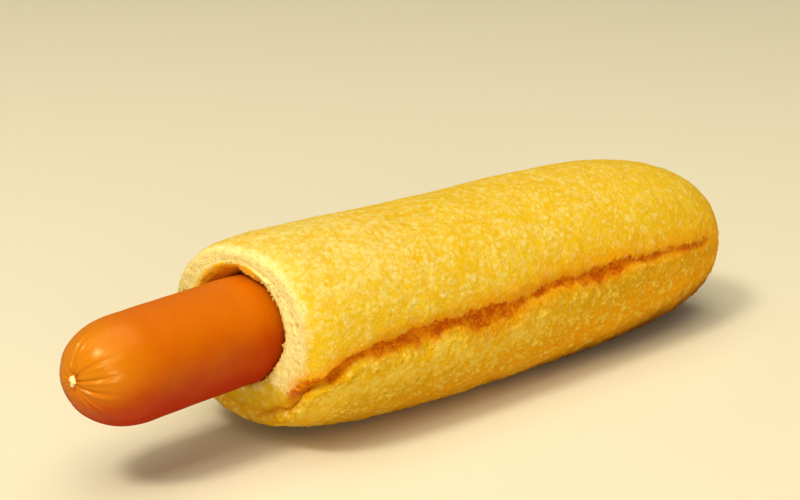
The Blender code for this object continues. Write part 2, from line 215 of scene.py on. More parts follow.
# The strong folds at the tip: (angle from +Y upwards, reach, height, half width, bend); sizes in mm.
STRONG_FOLDS = ((135, 9.4, -1.0, 0.5, 0.10), (143, 9.0, 0.6, 0.4, 0.10), (167, 9.0, -0.8, 0.4, -0.05),
                (175, 8.5, 0.6, 0.4, -0.05), (195, 8.8, -0.9, 0.45, -0.1), (203, 8.5, 0.5, 0.4, -0.1),
                (217, 10.5, 0.8, 0.35, 0.1), (226, 9, -0.6, 0.35, 0.1), (81, 9.4, 0.8, 0.3, 0.08),
                (99, 8.6, 0.7, 0.3, -0.05), (90, 7.5, -0.5, 0.35, 0), (108, 8.0, -0.5, 0.35, 0.05),
                (245, 7.0, -0.5, 0.4, 0), (300, 8.0, -0.6, 0.4, 0.1), (20, 8.0, -0.6, 0.4, -0.1))


def length_property(name, description, default):
    return FloatProperty(name=name, description=description, default=default, min=0.0, unit="LENGTH")


def power_property(name, description, default):
    return FloatProperty(name=name, description=description, default=default, min=0.0, unit="POWER")


def angle_property(name, description, degrees):
    return FloatProperty(name=name, description=description, default=math.radians(degrees), subtype="ANGLE")


def colour_property(name, description, default):
    return FloatVectorProperty(name=name, description=description, default=default,
                               subtype="COLOR", size=3, min=0.0, max=1.0)


class RollSizes(bpy.types.PropertyGroup):
    """The sizes of the roll."""

    length: length_property("Length", "From the cut face to the closed end", 0.1605)
    width: length_property("Width", "Across the widest section", 0.056)
    depth: length_property("Depth", "From the crown to the underside before it is pressed flat", 0.0466)
    pressed: length_property("Pressed", "How much of the depth the flat underside takes away", 0.002)
    mouth_half_width: length_property("Mouth half width", "Half the width of the bore's mouth", 0.0144)
    mouth_half_height: length_property("Mouth half height", "Half the height of the bore's mouth", 0.0133)
    mouth_height: length_property("Mouth height", "From the table to the mouth's middle", 0.0275)
    blister_size: length_property("Blister size", "Spacing of the small blisters in the crust", 0.0014)
    blister_height: length_property("Blister height", "How far a blister stands out", 0.00012)


class SausageSizes(bpy.types.PropertyGroup):
    """The sizes of the frankfurter."""

    diameter: length_property("Diameter", "Thickness of the frankfurter", 0.024)
    reach: length_property("Reach", "How far it stands out of the roll", 0.0462)
    buried: length_property("Buried", "How far it goes into the roll", 0.108)
    height: length_property("Height", "Height of its axis inside the roll", 0.0266)
    knot_radius: length_property("Knot radius", "Radius of the gathered knot at the tip", 0.0012)
    fold_count: IntProperty(name="Folds", description="How many fine folds gather at the knot",
                            default=34, min=3)
    fold_depth: length_property("Fold depth", "Depth of the deepest folds", 0.00034)


class Colours(bpy.types.PropertyGroup):
    """The colours of the bread, the frankfurter and the floor."""

    gold: colour_property("Gold crust", "The crust between its blisters", (0.64, 0.397, 0.011))
    # Lighter and warmer than the grains above: real grains, their lightness partly painted warm reflected
    # light below the seam.
    low_pale: colour_property("Lower grains", "Grains of the crust below the seam", (1.0, 0.665, 0.05))
    pale: colour_property("Pale blisters", "The tops of the blisters", (0.665, 0.54, 0.165))
    deep: colour_property("Deep gold", "The browner patches of the crust", (0.615, 0.325, 0.004))
    # Oranger and lighter in red than the gold: partly real browning, partly painted warm reflected light low
    # down. Its small specks are the crust's own.
    low: colour_property("Low crust", "The crust near the underside", (0.95, 0.385, 0.001))
    # The dark underside where the roll meets the table: partly the real baked underside, partly painted
    # contact shade. The knot's pit takes it as painted shade.
    base: colour_property("Underside", "The baked underside", (0.22, 0.04, 0.0004))
    crumb: colour_property("Crumb", "The inside of the bread where it is cut", (0.765, 0.615, 0.235))
    # Also darkens the hollows of the pores, pinholes and inward lip bits, as painted shade there.
    pores: colour_property("Pores", "The small holes in the crumb", (0.49, 0.24, 0.012))
    puff: colour_property("Puffed crust", "The pale crust that swells below the seam", (0.98, 0.515, 0.004))
    halo: colour_property("Toasted edge", "The crust beside the torn band", (0.70, 0.28, 0.002))
    toast: colour_property("Toasted tear", "The torn band along the seam", (0.62, 0.18, 0.002))
    scorch: colour_property("Scorched tear", "The darkest bits of the torn band", (0.43, 0.065, 0.0005))
    # Orange crumb down the bore: partly real staining, partly painted orange light reflected from the
    # frankfurter.
    stain_and_reflected_light: colour_property("Stained bore", "The crumb that touches the frankfurter", (0.90, 0.27, 0.002))
    skin: colour_property("Frankfurter", "The upper side of the frankfurter", (0.46, 0.10, 0.0003))
    # Paler than the skin: a painted highlight on the tip's upper side.
    skin_tip_painted_light: colour_property("Frankfurter tip", "The stretched skin of the tip", (0.47, 0.148, 0.003))
    # Redder and darker: painted shade on the frankfurter's underside. It also mottles the skin at random.
    skin_shade_and_mottle: colour_property("Frankfurter below", "The underside of the frankfurter", (0.35, 0.019, 0.0001))
    knot: colour_property("Knot", "The gathered casing at the tip", (0.78, 0.64, 0.31))
    floor: colour_property("Floor", "The plain pale floor", (0.63, 0.565, 0.40))


class StageSizes(bpy.types.PropertyGroup):
    """The camera, the lights and the floor."""

    lens: FloatProperty(name="Lens", description="Focal length on a 36 mm sensor", default=89.33,
                        unit="CAMERA")
    distance: length_property("Distance", "From the camera to the point it looks at", 0.471)
    azimuth: angle_property("Azimuth", "How far round the camera stands", -46.313)
    elevation: angle_property("Elevation", "How far above the table the camera stands", 15.368)
    key_power: power_property("Key light", "Power of the light behind and above the tip", 20.0)
    top_power: power_property("Top light", "Power of the large light overhead", 41.0)
    front_power: power_property("Front light", "Power of the light above the camera", 15.0)
    side_power: power_property("Side light", "Power of the low light beside the tip", 20.0)
    light_colour: colour_property("Light colour", "The colour of all the lights", (1.0, 0.95, 0.82))
    air: FloatProperty(name="Room light", description="Strength of the even light from the room",
                       default=0.17)
    floor_size: length_property("Floor size", "Side of the square floor", 8.0)


class Profile:
    """Sections along X: each has a place, a centre height, half sizes and a superellipse power."""

    def __init__(self, x, height, half_width, half_height, power):
        columns = np.broadcast_arrays(x, height, half_width, half_height, power)
        self.table = np.stack([np.asarray(column, float).reshape(-1) for column in columns], axis=1)

    def joined(self, *others):
        whole = Profile(0, 0, 0, 0, 2)
        whole.table = np.concatenate([self.table] + [other.table for other in others])
        return whole

    def points(self, angles):
        """A point of a section is half_width * cos^(2/power) across and half_height * sin^(2/power) up."""
        x, height, half_width, half_height, power = (column[:, None] for column in self.table.T)
        side = np.cos(angles)
        rise = np.sin(angles)
        y = half_width * np.sign(side) * np.abs(side) ** (2 / power)
        z = height + half_height * np.sign(rise) * np.abs(rise) ** (2 / power)
        return np.stack([np.broadcast_to(x, y.shape), y, z], axis=2)


def ease(share):
    """A smooth step: share squared times (3 - 2 share), from 0 to 1."""
    share = np.clip(share, 0, 1)
    return share * share * (3 - 2 * share)


def table_at(table, value):
    """The table's second column at this value of its first, in straight lines between entries."""
    return np.interp(value, *np.array(table, float).T)


def take(values, places):
    """The values at fractional places in a list, in straight lines between its entries."""
    return np.interp(places, np.arange(len(values)), values)


def bell(value, middle, width):
    """exp(-((value - middle) / width)^2)"""
    return np.exp(-(((value - middle) / width) ** 2))


def waves(points, shortest, longest, count, seed):
    """Plane waves of random direction, length and phase, added together: mostly within -1 and 1. The
    seed sets their draw."""
    draw = np.random.default_rng(seed)
    total = np.zeros(points.shape[:-1])
    for _ in range(count):
        direction = draw.normal(size=3)
        direction *= 2 * math.pi / np.linalg.norm(direction) / draw.uniform(shortest, longest)
        total += np.cos(points @ direction + draw.uniform(0, 2 * math.pi))
    return total / math.sqrt(count)


def cell_draws(cells, seed):
    """Four numbers from 0 to 1 for each cell of a lattice, by an integer hash of its place."""
    key = cells[..., 0] * 73856093 ^ cells[..., 1] * 19349663 ^ cells[..., 2] * 83492791
    key = (key + seed * 974711) & 0xFFFFFFFF
    draws = []
    for turn in (0x9E3779B1, 0x85EBCA6B, 0xC2B2AE35, 0x27D4EB2F):
        mixed = ((key ^ (key >> 15)) * turn) & 0xFFFFFFFF
        mixed = ((mixed ^ (mixed >> 13)) * 0x5BD1E995) & 0xFFFFFFFF
        draws.append(((mixed ^ (mixed >> 16)) & 0xFFFFFF) / 0x1000000)
    return np.stack(draws, axis=-1)


def bubbles(points, size, seed):
    """How far each point is from the nearest of random centres, one to a lattice cell, and its draw."""
    place = points / size
    cell = np.floor(place).astype(np.int64)
    nearest = np.full(place.shape[:-1], 9.0)
    mark = np.zeros(place.shape[:-1])
    for offset in itertools.product((-1, 0, 1), repeat=3):
        other = cell + offset
        draws = cell_draws(other, seed)
        gap = np.linalg.norm(other + draws[..., :3] - place, axis=-1)
        mark = np.where(gap < nearest, draws[..., 3], mark)
        nearest = np.minimum(nearest, gap)
    return nearest, mark


def graded(run, steps):
    """Places along a fine run (in mm) so that the step there is what the table of steps says."""
    count = np.concatenate([[0], np.cumsum(np.diff(run) / table_at(steps, run[1:]))])
    rows = max(2, round(count[-1]))
    return np.interp(np.linspace(0, count[-1], rows), count, np.arange(len(run)))


def smoothed(line, reach):
    """A running mean along a line of points, with its ends kept."""
    padded = np.pad(line, ((reach, reach), (0, 0)), mode="edge")
    kernel = np.ones(2 * reach + 1) / (2 * reach + 1)
    return np.stack([np.convolve(column, kernel, mode="valid") for column in padded.T], axis=1)


def resampled(line, step):
    """The same line with points a fixed step apart."""
    run = np.concatenate([[0], np.cumsum(np.linalg.norm(np.diff(line, axis=0), axis=1))])
    wanted = np.arange(0, run[-1], step)
    return np.stack([np.interp(wanted, run, column) for column in line.T], axis=1)


def grid_normals(points):
    """Unit normals from the cross product of the steps along and round a grid that closes on itself."""
    round_step = np.roll(points, -1, axis=1) - np.roll(points, 1, axis=1)
    normal = np.cross(np.gradient(points, axis=0), round_step)
    length = np.linalg.norm(normal, axis=2, keepdims=True)
    return normal / np.maximum(length, 1e-15)


class Places:
    """Places along X that follow from the sizes."""

    def __init__(self, roll, sausage):
        self.roll = roll
        self.sausage = sausage
        self.closed_x = (roll.length + sausage.reach) / 2
        self.cut_x = self.closed_x - roll.length
        self.widest_x = self.cut_x + WIDEST_SHARE * roll.length
        self.tip_x = self.cut_x - sausage.reach
        self.sausage_end_x = self.cut_x + sausage.buried
        self.radius = sausage.diameter / 2
        self.bore_radius = self.radius + BORE_CLEARANCE


def current_places():
    """The places for the present sizes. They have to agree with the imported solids."""
    scene = bpy.context.scene
    places = Places(scene.hot_dog_roll, scene.hot_dog_sausage)
    bun_low, bun_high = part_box("bun")
    sausage_low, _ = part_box("sausage")
    packed = np.array([bun_high.x, bun_low.x, sausage_low.x])
    if np.abs(packed - [places.closed_x, places.cut_x, places.tip_x]).max() > MM:
        raise ValueError("the sizes differ from the packed solids")
    return places


def half_outline(places, end_x, power, end_girth):
    """From the widest section to an end: x by sin^(2/power), girth by cos^(2/power) down to the end's."""
    turn = np.linspace(0, math.pi / 2, FINE)
    x = places.widest_x + (end_x - places.widest_x) * np.sin(turn) ** (2 / power)
    share = np.clip(np.cos(turn), 0, 1) ** (2 / power)
    share[-1] = 0
    return x, end_girth + (1 - end_girth) * share


def skin_sections(places, x, girth):
    """Sections of the skin: the girth scales the widest section, and the ends lift or drop."""
    roll = places.roll
    to_cut = np.clip((places.widest_x - x) / (places.widest_x - places.cut_x), 0, 1)
    to_back = np.clip((x - places.widest_x) / (places.closed_x - places.widest_x), 0, 1)
    height = roll.depth / 2 - roll.pressed + FRONT_LIFT * to_cut**2 - BACK_DROP * to_back**2
    face_share = ease((1 - girth) / (1 - FACE_GIRTH)) * (to_cut > 0)
    face_stretch = FACE_DEPTH / (FACE_GIRTH * roll.depth / 2)
    half_height = roll.depth / 2 * girth * (1 + (face_stretch - 1) * face_share)
    return Profile(x, height, roll.width / 2 * girth, half_height, SECTION_POWER)


def skin_rows(places):
    """The skin's sections from the closed pole to the face, and each one's distance from the face."""
    back_x, back_girth = half_outline(places, places.closed_x, CLOSED_POWER, 0)
    front_x, front_girth = half_outline(places, places.cut_x, SHOULDER_POWER, FACE_GIRTH)
    x = np.concatenate([back_x[::-1], front_x[1:]])
    girth = np.concatenate([back_girth[::-1], front_girth[1:]])
    steps = np.hypot(np.diff(x), np.diff(girth) * places.roll.width / 2)
    to_face = np.append(np.cumsum(steps[::-1])[::-1], 0)
    rows = (len(x) - 1 - graded(to_face[::-1] / MM, SKIN_STEPS))[::-1]
    return skin_sections(places, take(x, rows), take(girth, rows)), take(to_face, rows)


def face_rows(places, edge):
    """The cut face: it narrows in straight lines from the skin's last section to the lip of the mouth."""
    roll = places.roll
    wide = roll.mouth_half_width + LIP_RADIUS
    high = roll.mouth_half_height + LIP_SPREAD
    share = np.linspace(0, 1, round((edge[2] - wide) / (FACE_STEP * MM)) + 1)[1:]
    end = np.array([roll.mouth_height + LIP_LIFT, wide, high, 2])
    columns = edge[1:, None] + (end - edge[1:])[:, None] * share
    return Profile(places.cut_x - FACE_CROWN * ease(share), *columns), (wide - edge[2]) * share


def lip_rows(places):
    """The rounded edge of the mouth: a quarter turn from the face into the bore."""
    roll = places.roll
    turn = np.linspace(0, math.pi / 2, LIP_ROWS)[1:]
    share = 1 - np.sin(turn)
    x = places.cut_x + LIP_RADIUS - (LIP_RADIUS + FACE_CROWN) * np.cos(turn)
    return Profile(x, roll.mouth_height + LIP_LIFT * share, roll.mouth_half_width + LIP_RADIUS * share,
                   roll.mouth_half_height + LIP_SPREAD * share, 2)


def tip_curve(places):
    """The tip: radius = (1 - run^2.45)^(1/2.16) of the full one, as the run falls from 1 to 0."""
    run = np.sin(np.linspace(math.pi / 2, 0, FINE))
    radius = places.radius * (1 - run**TIP_POWER) ** (1 / TIP_ROUND)
    return TIP_LENGTH * (1 - run), radius


def bore_rows(places):
    """The bore: a flare that closes on the frankfurter, a straight run and a domed blind end."""
    roll = places.roll
    end = places.sausage.buried - TIP_LENGTH
    run = np.linspace(LIP_RADIUS, end, FINE)
    depth = take(run, graded(run / MM, BORE_STEPS))[1:]
    shut = ease(depth / FLARE_LENGTH)
    start = np.array([roll.mouth_height, roll.mouth_half_width, roll.mouth_half_height])
    change = np.array([places.sausage.height, places.bore_radius, places.bore_radius]) - start
    straight = Profile(places.cut_x + depth, *(start[:, None] + change[:, None] * shut), 2)
    radius = places.radius * np.array([0.97, 0.87, 0.7, 0.5, 0.25, 0])
    from_tip = np.interp(radius, *tip_curve(places)[::-1])
    stretch = (TIP_LENGTH + 2 * BORE_CLEARANCE) / TIP_LENGTH
    x = places.cut_x + end + (TIP_LENGTH - from_tip) * stretch
    dome = radius * places.bore_radius / places.radius
    return straight.joined(Profile(x, places.sausage.height, dome, dome, 2))


def leaned(points, places):
    """The lower front set back: x grows by the lean * ease(how low) * (1 - ease(how far behind))."""
    high, low = LEAN_HEIGHTS
    lower = ease((high - points[..., 2]) / (high - low))
    nearer = 1 - ease((points[..., 0] - places.cut_x) / LEAN_REACH)
    return points + (lower * nearer)[..., None] * [LEAN, 0, 0]


def seam_angles(places, skin):
    """The section angle at which the seam crosses each row of the skin."""
    behind, height = np.array(SEAM_SIDE[::-1], float).T * MM
    x, centre, _, half_height, power = skin.table.T
    rise = (np.interp(x - places.cut_x, behind, height) - centre) / np.maximum(half_height, MM)
    rise = np.clip(rise, -0.9, 0.9)
    angle = np.sign(rise) * np.arcsin(np.abs(rise) ** (power / 2))
    closing = ease((places.closed_x - x) / SEAM_CLOSING)
    return smoothed(angle[:, None] * closing[:, None], 8)[:, 0]


def seam_line(places, skin):
    """The seam's points on the -Y side, from near the closed end to the middle under the mouth."""
    side = skin.points((math.pi - seam_angles(places, skin))[:, None])[:, 0]
    inside = (side[:, 0] < places.cut_x + SEAM_SIDE[0][0] * MM) & (side[:, 0] > places.cut_x + 0.5 * MM)
    angle = np.linspace(SEAM_UNDER_START, -math.pi / 2, 12)
    under_y = -SEAM_UNDER_HALF_WIDTH * np.cos(angle)
    under_z = places.roll.mouth_height + SEAM_UNDER_DROP * np.sin(angle)
    under = np.stack([np.full_like(angle, places.cut_x), under_y, under_z], axis=1)
    return smoothed(resampled(np.concatenate([side[inside], under]), SEAM_STEP), 9)


class SeamFrame:
    """For each point: its signed distance from the seam, up the side, and its place along the seam."""

    def __init__(self, places, points, line):
        behind = (line[:, 0] - places.cut_x) / MM
        line = leaned(line, places)
        tangent = np.gradient(line, axis=0)
        tangent /= np.linalg.norm(tangent, axis=1, keepdims=True)
        front = 1 - ease(behind / SEAM_TURN)[:, None]
        to_mouth = -line * [0, 1, 1] + [0, 0, places.roll.mouth_height]
        to_mouth /= np.linalg.norm(to_mouth, axis=1, keepdims=True)
        upward = front * to_mouth + (1 - front) * [0, 0, 1]
        folded = points.copy()
        folded[..., 1] = -np.abs(folded[..., 1])
        blocks = np.array_split(folded, len(points) // 8)
        index = np.concatenate([self.nearest(block, line) for block in blocks])
        offset = folded - line[index]
        slide = (offset * tangent[index]).sum(axis=-1)
        across = offset - slide[..., None] * tangent[index]
        sign = np.where((across * upward[index]).sum(axis=-1) < 0, -1, 1)
        self.gap = sign * np.linalg.norm(across, axis=-1) / MM
        self.run = (index * SEAM_STEP + slide) / MM + np.where(points[..., 1] > 0, OTHER_SIDE, 0)
        self.side = table_at(CREASE_SIDES, points[..., 1] / MM)
        self.behind = behind[index]
        sideways = ease((np.abs(points[..., 1]) / MM - 8) / 8)
        self.sunk_gap = self.gap + FOLD_SUNK * sideways * (1 - ease(self.behind / FOLD_SUNK_REACH))

    @staticmethod
    def nearest(block, line):
        """Which point of the line is nearest: |p|^2 - 2 p.q + |q|^2 is least."""
        return ((line**2).sum(axis=1) - 2 * block @ line.T).argmin(axis=-1)


def seam_shape(seam):
    """A groove, depth times a bell across the gap, a swollen lobe under it and a thin fold in front."""
    depth = table_at(SEAM_DEPTHS, seam.behind) * MM
    half_width = table_at(SEAM_HALF_WIDTHS, seam.behind)
    groove = depth * bell(seam.sunk_gap, 0, half_width)
    lobe = bell(-seam.gap, LOBE_PLACE[0] * half_width, LOBE_PLACE[1] * half_width) * (seam.gap < 0)
    return table_at(LOBE_SWELLS, seam.behind) * MM * lobe - groove - CREASE_DEPTH * fold_line(seam)


def fold_line(seam):
    """1 in the thin fold that goes on from the seam under the mouth: a bell across the wavering line."""
    waver = sum(height * np.sin(seam.run / length) for height, length in FOLD_WAVERS)
    return bell(seam.sunk_gap + waver, 0, CREASE_HALF_WIDTH) * table_at(CREASE_ENDS, seam.behind) * seam.side


def torn_band(grid):
    """1 inside the torn band and 0 outside it, and the distance out from its crumbling edge."""
    seam = grid.seam
    half_width = table_at(TORN_HALF_WIDTHS, seam.behind)
    fine = waves(grid.points, 1.0 * MM, 2.6 * MM, 24, 31) * np.where(seam.gap < 0, *TEAR_FINE)
    crumble = fine + TEAR_WANDER * waves(grid.points, 3 * MM, 9 * MM, 16, 32)
    edge = np.abs(seam.gap) - half_width + crumble * np.clip(half_width, 0.35, 1)
    softness = np.where(seam.gap < 0, *TEAR_SOFTNESS)
    return 1 - ease(edge / softness + 0.5), edge


def toasted_side(grid):
    """1 along the roll's sides, and 0 under the mouth, where the seam is only a fold."""
    beside = ease((np.abs(grid.points[..., 1]) / MM - TOASTED_FROM) / 4)
    return np.maximum(beside, ease(grid.seam.behind / 3))


def drawn_out(points):
    """Places with their share along the dough's way cut down, so that a pattern is drawn out along it."""
    return points - DOUGH_DRAW * (points @ DOUGH_WAY)[..., None] * DOUGH_WAY


def crust_relief(grid):
    """Blisters: each random centre carries a rounded bump, over shallow dimples, with a few pinholes."""
    roll = grid.places.roll
    dough = drawn_out(grid.points)
    near, mark = bubbles(dough, roll.blister_size, 51)
    small, small_mark = bubbles(dough, 0.6 * roll.blister_size, 52)
    grain = ease(1 - near / 0.62) * (0.3 + 0.7 * mark) + 0.5 * ease(1 - small / 0.62) * small_mark
    dimples = waves(grid.points, 3 * MM, 9 * MM, 24, 53)
    pinhole, pinhole_mark = bubbles(grid.points, PINHOLE_SPACING, 64)
    lower = lower_share(grid)
    in_front = 1 - ease(grid.to_edge / 60 - 0.4)
    pinholes = ease(1 - pinhole / 0.17) * (pinhole_mark > 0.72 - 0.15 * lower) * in_front
    height = roll.blister_height * (1 + COARSE_BELOW * lower)
    return height * (1.3 * grain + 0.5 * dimples - 0.6 - 3 * pinholes), grain, pinholes


def lower_share(grid):
    """0 above the seam and 1 below it, where the crust is coarser."""
    return ease(-grid.seam.gap / 3)


def crumb_relief(grid):
    """Fluffy crumb: short waves, round pores, a few wider holes, low swells and an uneven outer edge."""
    points = grid.points
    pore, pore_mark = bubbles(points, PORE_SPACING, 54)
    pores = ease(1 - pore / (0.30 + 0.30 * pore_mark)) * (pore_mark > 0.4)
    hole, hole_mark = bubbles(points, HOLE_SPACING, 55)
    holes = ease(1 - hole / 0.36) * (hole_mark > 0.75)
    fluff = waves(points, 0.7 * MM, 2.0 * MM, 40, 56)
    before_lip = 1 - ease((grid.past_lip + 2) / 2)
    swell = CRUMB_SWELL * waves(points, 2.4 * MM, 7 * MM, 20, 59) * before_lip
    far = 1 - 0.6 * ease(-points[..., 1] / (10 * MM))
    torn = TORN_EDGE * waves(points, 3.2 * MM, 8 * MM, 16, 66) * bell(grid.to_edge, 0.8, 2.4) * far
    return PORE_DEPTH * (0.3 * fluff - pores) - HOLE_DEPTH * holes + swell + torn, np.maximum(pores, holes)


def lip_relief(grid):
    """Ragged bits round the mouth: each lattice cell near the lip stands in or out by its own draw,
    most at the middle of the -Y side."""
    _, chunk = bubbles(grid.points, LIP_CHUNK, 57)
    _, chip = bubbles(grid.points, LIP_CHIP, 60)
    ragged = LIP_RAGGED * (0.8 * chunk + 0.7 * chip - 0.6 + 0.3 * waves(grid.points, 2 * MM, 6 * MM, 12, 58))
    below, above = ease((-0.2 - grid.turned) / 0.5), ease((grid.turned - 0.6) / 0.3)
    calm = 0.7 * np.maximum(below, above)
    share = np.where(grid.points[..., 1] > 0, 0.3, 1 - calm)
    return ragged * np.where(grid.outside, 0, bell(grid.past_lip, 1.3, 0.6)) * share


def bore_share(grid):
    """How far past the lip a point is, as a share of the reach of the orange crumb. It starts early above
    the mouth's middle and all along its +Y side, and the start wavers."""
    waver = 0.35 * waves(grid.points, 1.2 * MM, 4 * MM, 16, 65)
    early = np.where(grid.points[..., 1] > 0, 1, ease((grid.turned - 0.95) / 0.3))
    return np.clip((grid.past_lip + waver + 0.2 + 1.1 * early) / STAIN_AND_REFLECTION_REACH, 0, 1)


def lip_closing(grid):
    """The crumb closes on the frankfurter: at once at the lower sides of the mouth, in a slope above."""
    places, depth, turned = grid.places, grid.depth, grid.turned
    x, y, z = np.moveaxis(grid.points, -1, 0)
    gap = np.hypot(y, z - sausage_axis(places, x)) - places.radius
    lower = bell(turned, LIP_CLOSED_AT, LIP_CLOSED_SPREAD) * ease(depth / 0.8) * (1 - ease((depth - 4) / 6))
    upper = ease((turned + 0.2) / 0.6) * ease((depth - 1.0) / 5) * (1 - ease((depth - 8) / 8))
    near = (y < 0) * bell(turned, LIP_NEAR_AT, LIP_NEAR_SPREAD) * ease(depth / 2.4)
    near = near * (1 - ease((depth - 6) / 6))
    closing = np.maximum(np.maximum(lower, 0.9 * near), 0.8 * upper)
    return np.clip(gap - LIP_CLOSED_GAP, 0, 2 * MM) * closing * ~grid.outside


def tear_relief(grid, band):
    """The torn band lies lower, in crumbly strands."""
    strands = fibres(grid.seam, 61)
    crumbly = waves(grid.points, 0.6 * MM, 1.8 * MM, 24, 62)
    return TEAR_DEPTH * (0.2 * strands + 0.5 * crumbly - 1) * band


def fibres(seam, seed):
    """Waves that are short along the seam and longer across it, so that they read as torn strands."""
    flat = np.stack([seam.run, 0.45 * seam.gap, np.zeros_like(seam.gap)], axis=-1)
    return waves(flat, 0.8, 2.2, 16, seed)


def rind_share(grid):
    """1 on the crust and 0 on the crumb: the border lies further back over the top."""
    rise = np.sin(grid.angles)
    border = RIND_BORDER + RIND_OVER * np.maximum(rise, 0) - RIND_UNDER * np.maximum(-rise, 0)
    border = border - RIND_LOWEST * ease((-rise - 0.45) / 0.4)
    border = border + RIND_WAVER * waves(grid.points, 1.5 * MM, 6 * MM, 20, 41)
    return ease((grid.to_edge - border) / RIND_BLEND + 0.5)


class RollGrid:
    """The roll's bare surface: its points and normals, and where each lies along and round it."""

    def __init__(self, places):
        self.places = places
        skin, to_face = skin_rows(places)
        face, into_face = face_rows(places, skin.table[-1])
        lip = lip_rows(places)
        bore = bore_rows(places)
        whole = skin.joined(face, lip, bore)
        rows = len(whole.table)
        seam_angle = seam_angles(places, skin)
        closing = 1 - ease(np.arange(1, rows - len(seam_angle) + 1) / (len(face.table) + len(lip.table)))
        seam_angle = np.concatenate([seam_angle, seam_angle[-1] * closing])[:, None]
        turn = np.arange(ROLL_COLUMNS) / ROLL_COLUMNS * 2 * math.pi
        self.angles = turn - SIDE_CROWDING / 2 * np.sin(2 * turn) + seam_angle * np.cos(turn)
        self.points = leaned(whole.points(self.angles), places)
        self.turned = np.arctan2(self.points[..., 2] - places.roll.mouth_height, np.abs(self.points[..., 1]))
        self.normals = grid_normals(self.points)
        self.normals[0] = [1, 0, 0]
        self.normals[-1] = [-1, 0, 0]
        outer = len(to_face) + len(into_face)
        self.split = len(to_face) - 1
        self.face_width = -into_face[-1] / MM
        self.outside = np.arange(rows)[:, None] < outer
        to_edge = np.concatenate([to_face, into_face, np.full(rows - outer, into_face[-1])]) / MM
        depth = (whole.table[:, 0] - places.cut_x + FACE_CROWN) / MM * ~self.outside[:, 0]
        self.to_edge = np.broadcast_to(to_edge[:, None], self.angles.shape)
        self.depth = np.broadcast_to(depth[:, None], self.angles.shape)
        self.past_lip = np.where(self.outside, -self.to_edge - self.face_width, self.depth)
        self.seam = SeamFrame(places, self.points, seam_line(places, skin))


def roll_relief(grid, texture, lip, tear):
    """How far the surface stands out: swells and seam, which fade before the lip, then texture, lip and
    tear, which fade down the bore, and the crumb that closes on the frankfurter."""
    fade = 1 - ease((grid.past_lip + FADE_REACH) / FADE_REACH)
    relief = (lumps(grid.points) + seam_shape(grid.seam)) * fade
    relief = relief + texture + lip
    relief = (relief + tear) * (1 - ease((grid.depth - 1.5) / 5)) + lip_closing(grid)
    relief[0] = relief[0].mean()
    relief[-1] = 0
    return relief


def pressed_flat(points):
    """The same points, none of them below the table, where the crust rests in fine unevenness."""
    rest = PRESSED_GRAIN * (1 + waves(points, 1.5 * MM, 6 * MM, 16, 63))
    points[..., 2] = np.maximum(points[..., 2], np.clip(rest, 0, 3 * PRESSED_GRAIN))
    return points


@functools.lru_cache(maxsize=1)
def roll_surface():
    """The roll's finished points, the values that its finish reads, its grid and the torn band's edge."""
    grid = RollGrid(current_places())
    seam = grid.seam
    rind = rind_share(grid)
    crust, grain, pinholes = crust_relief(grid)
    crumb, pores = crumb_relief(grid)
    lip = lip_relief(grid)
    # The lip's inward bits join the pores, which the finish darkens as painted shade.
    pores = np.maximum(pores, ease(-lip / (0.5 * LIP_RAGGED)))
    band, edge = torn_band(grid)
    toasting = table_at(TOASTING, seam.behind) * toasted_side(grid) * grid.outside
    band = band * toasting
    texture = (crust * rind + crumb * (1 - rind)) * (1 - band)
    relief = roll_relief(grid, texture, lip, tear_relief(grid, band) * toasting)
    points = pressed_flat(grid.points + grid.normals * relief[..., None])
    below = seam.gap < 0
    halo_reach = np.where(below, table_at(HALO_BELOW, seam.behind), table_at(HALO_ABOVE, seam.behind))
    values = {
        "rind": rind,
        "toast": band,
        "halo": bell(np.maximum(edge, 0), 0, halo_reach) * toasting,
        # Painted shade: the thin fold under the mouth is coloured darker along its line.
        "fold": fold_line(seam) * grid.outside,
        "puffy": bell(seam.gap, -7, 4.5) * table_at(PUFFY, seam.behind) * below,
        "lower": lower_share(grid) * rind,
        "pits": np.where(rind > 0.5, pinholes, pores),
        "grain": grain,
        "bore": bore_share(grid),
        "seam_run": seam.run,
        "seam_gap": seam.gap,
    }
    return points, values, grid, edge


def lumps(points):
    """Low swells: plane waves of random direction, length and phase, added together."""
    return LUMP_HEIGHT * math.sqrt(2) * waves(points, *LUMP_LENGTHS, LUMP_COUNT, LUMP_SEED)


def grid_faces(shape, closed, poles):
    """The vertices that a stack of grids uses, its quads and its triangles. Each pole is one vertex."""
    rows, columns = shape[-3:-1]
    index = np.arange(math.prod(shape) // 3).reshape(-1, rows, columns)
    if closed:
        index = np.concatenate([index, index[:, :, :1]], axis=2)
    for row, is_pole in zip((0, -1), poles):
        if is_pole:
            index[:, row] = index[:, row, :1]
    ring = (index[:, :-1, :-1], index[:, 1:, :-1], index[:, 1:, 1:], index[:, :-1, 1:])
    used, corners = np.unique(np.stack(ring, axis=-1).reshape(-1, 4), return_inverse=True)
    corners = corners.reshape(-1, 4)
    start_pole = corners[:, 0] == corners[:, 3]
    end_pole = corners[:, 1] == corners[:, 2]
    quads = corners[~(start_pole | end_pole)]
    triangles = np.concatenate([corners[start_pole][:, [0, 1, 2]], corners[end_pole][:, [0, 1, 3]]])
    return used, quads, triangles


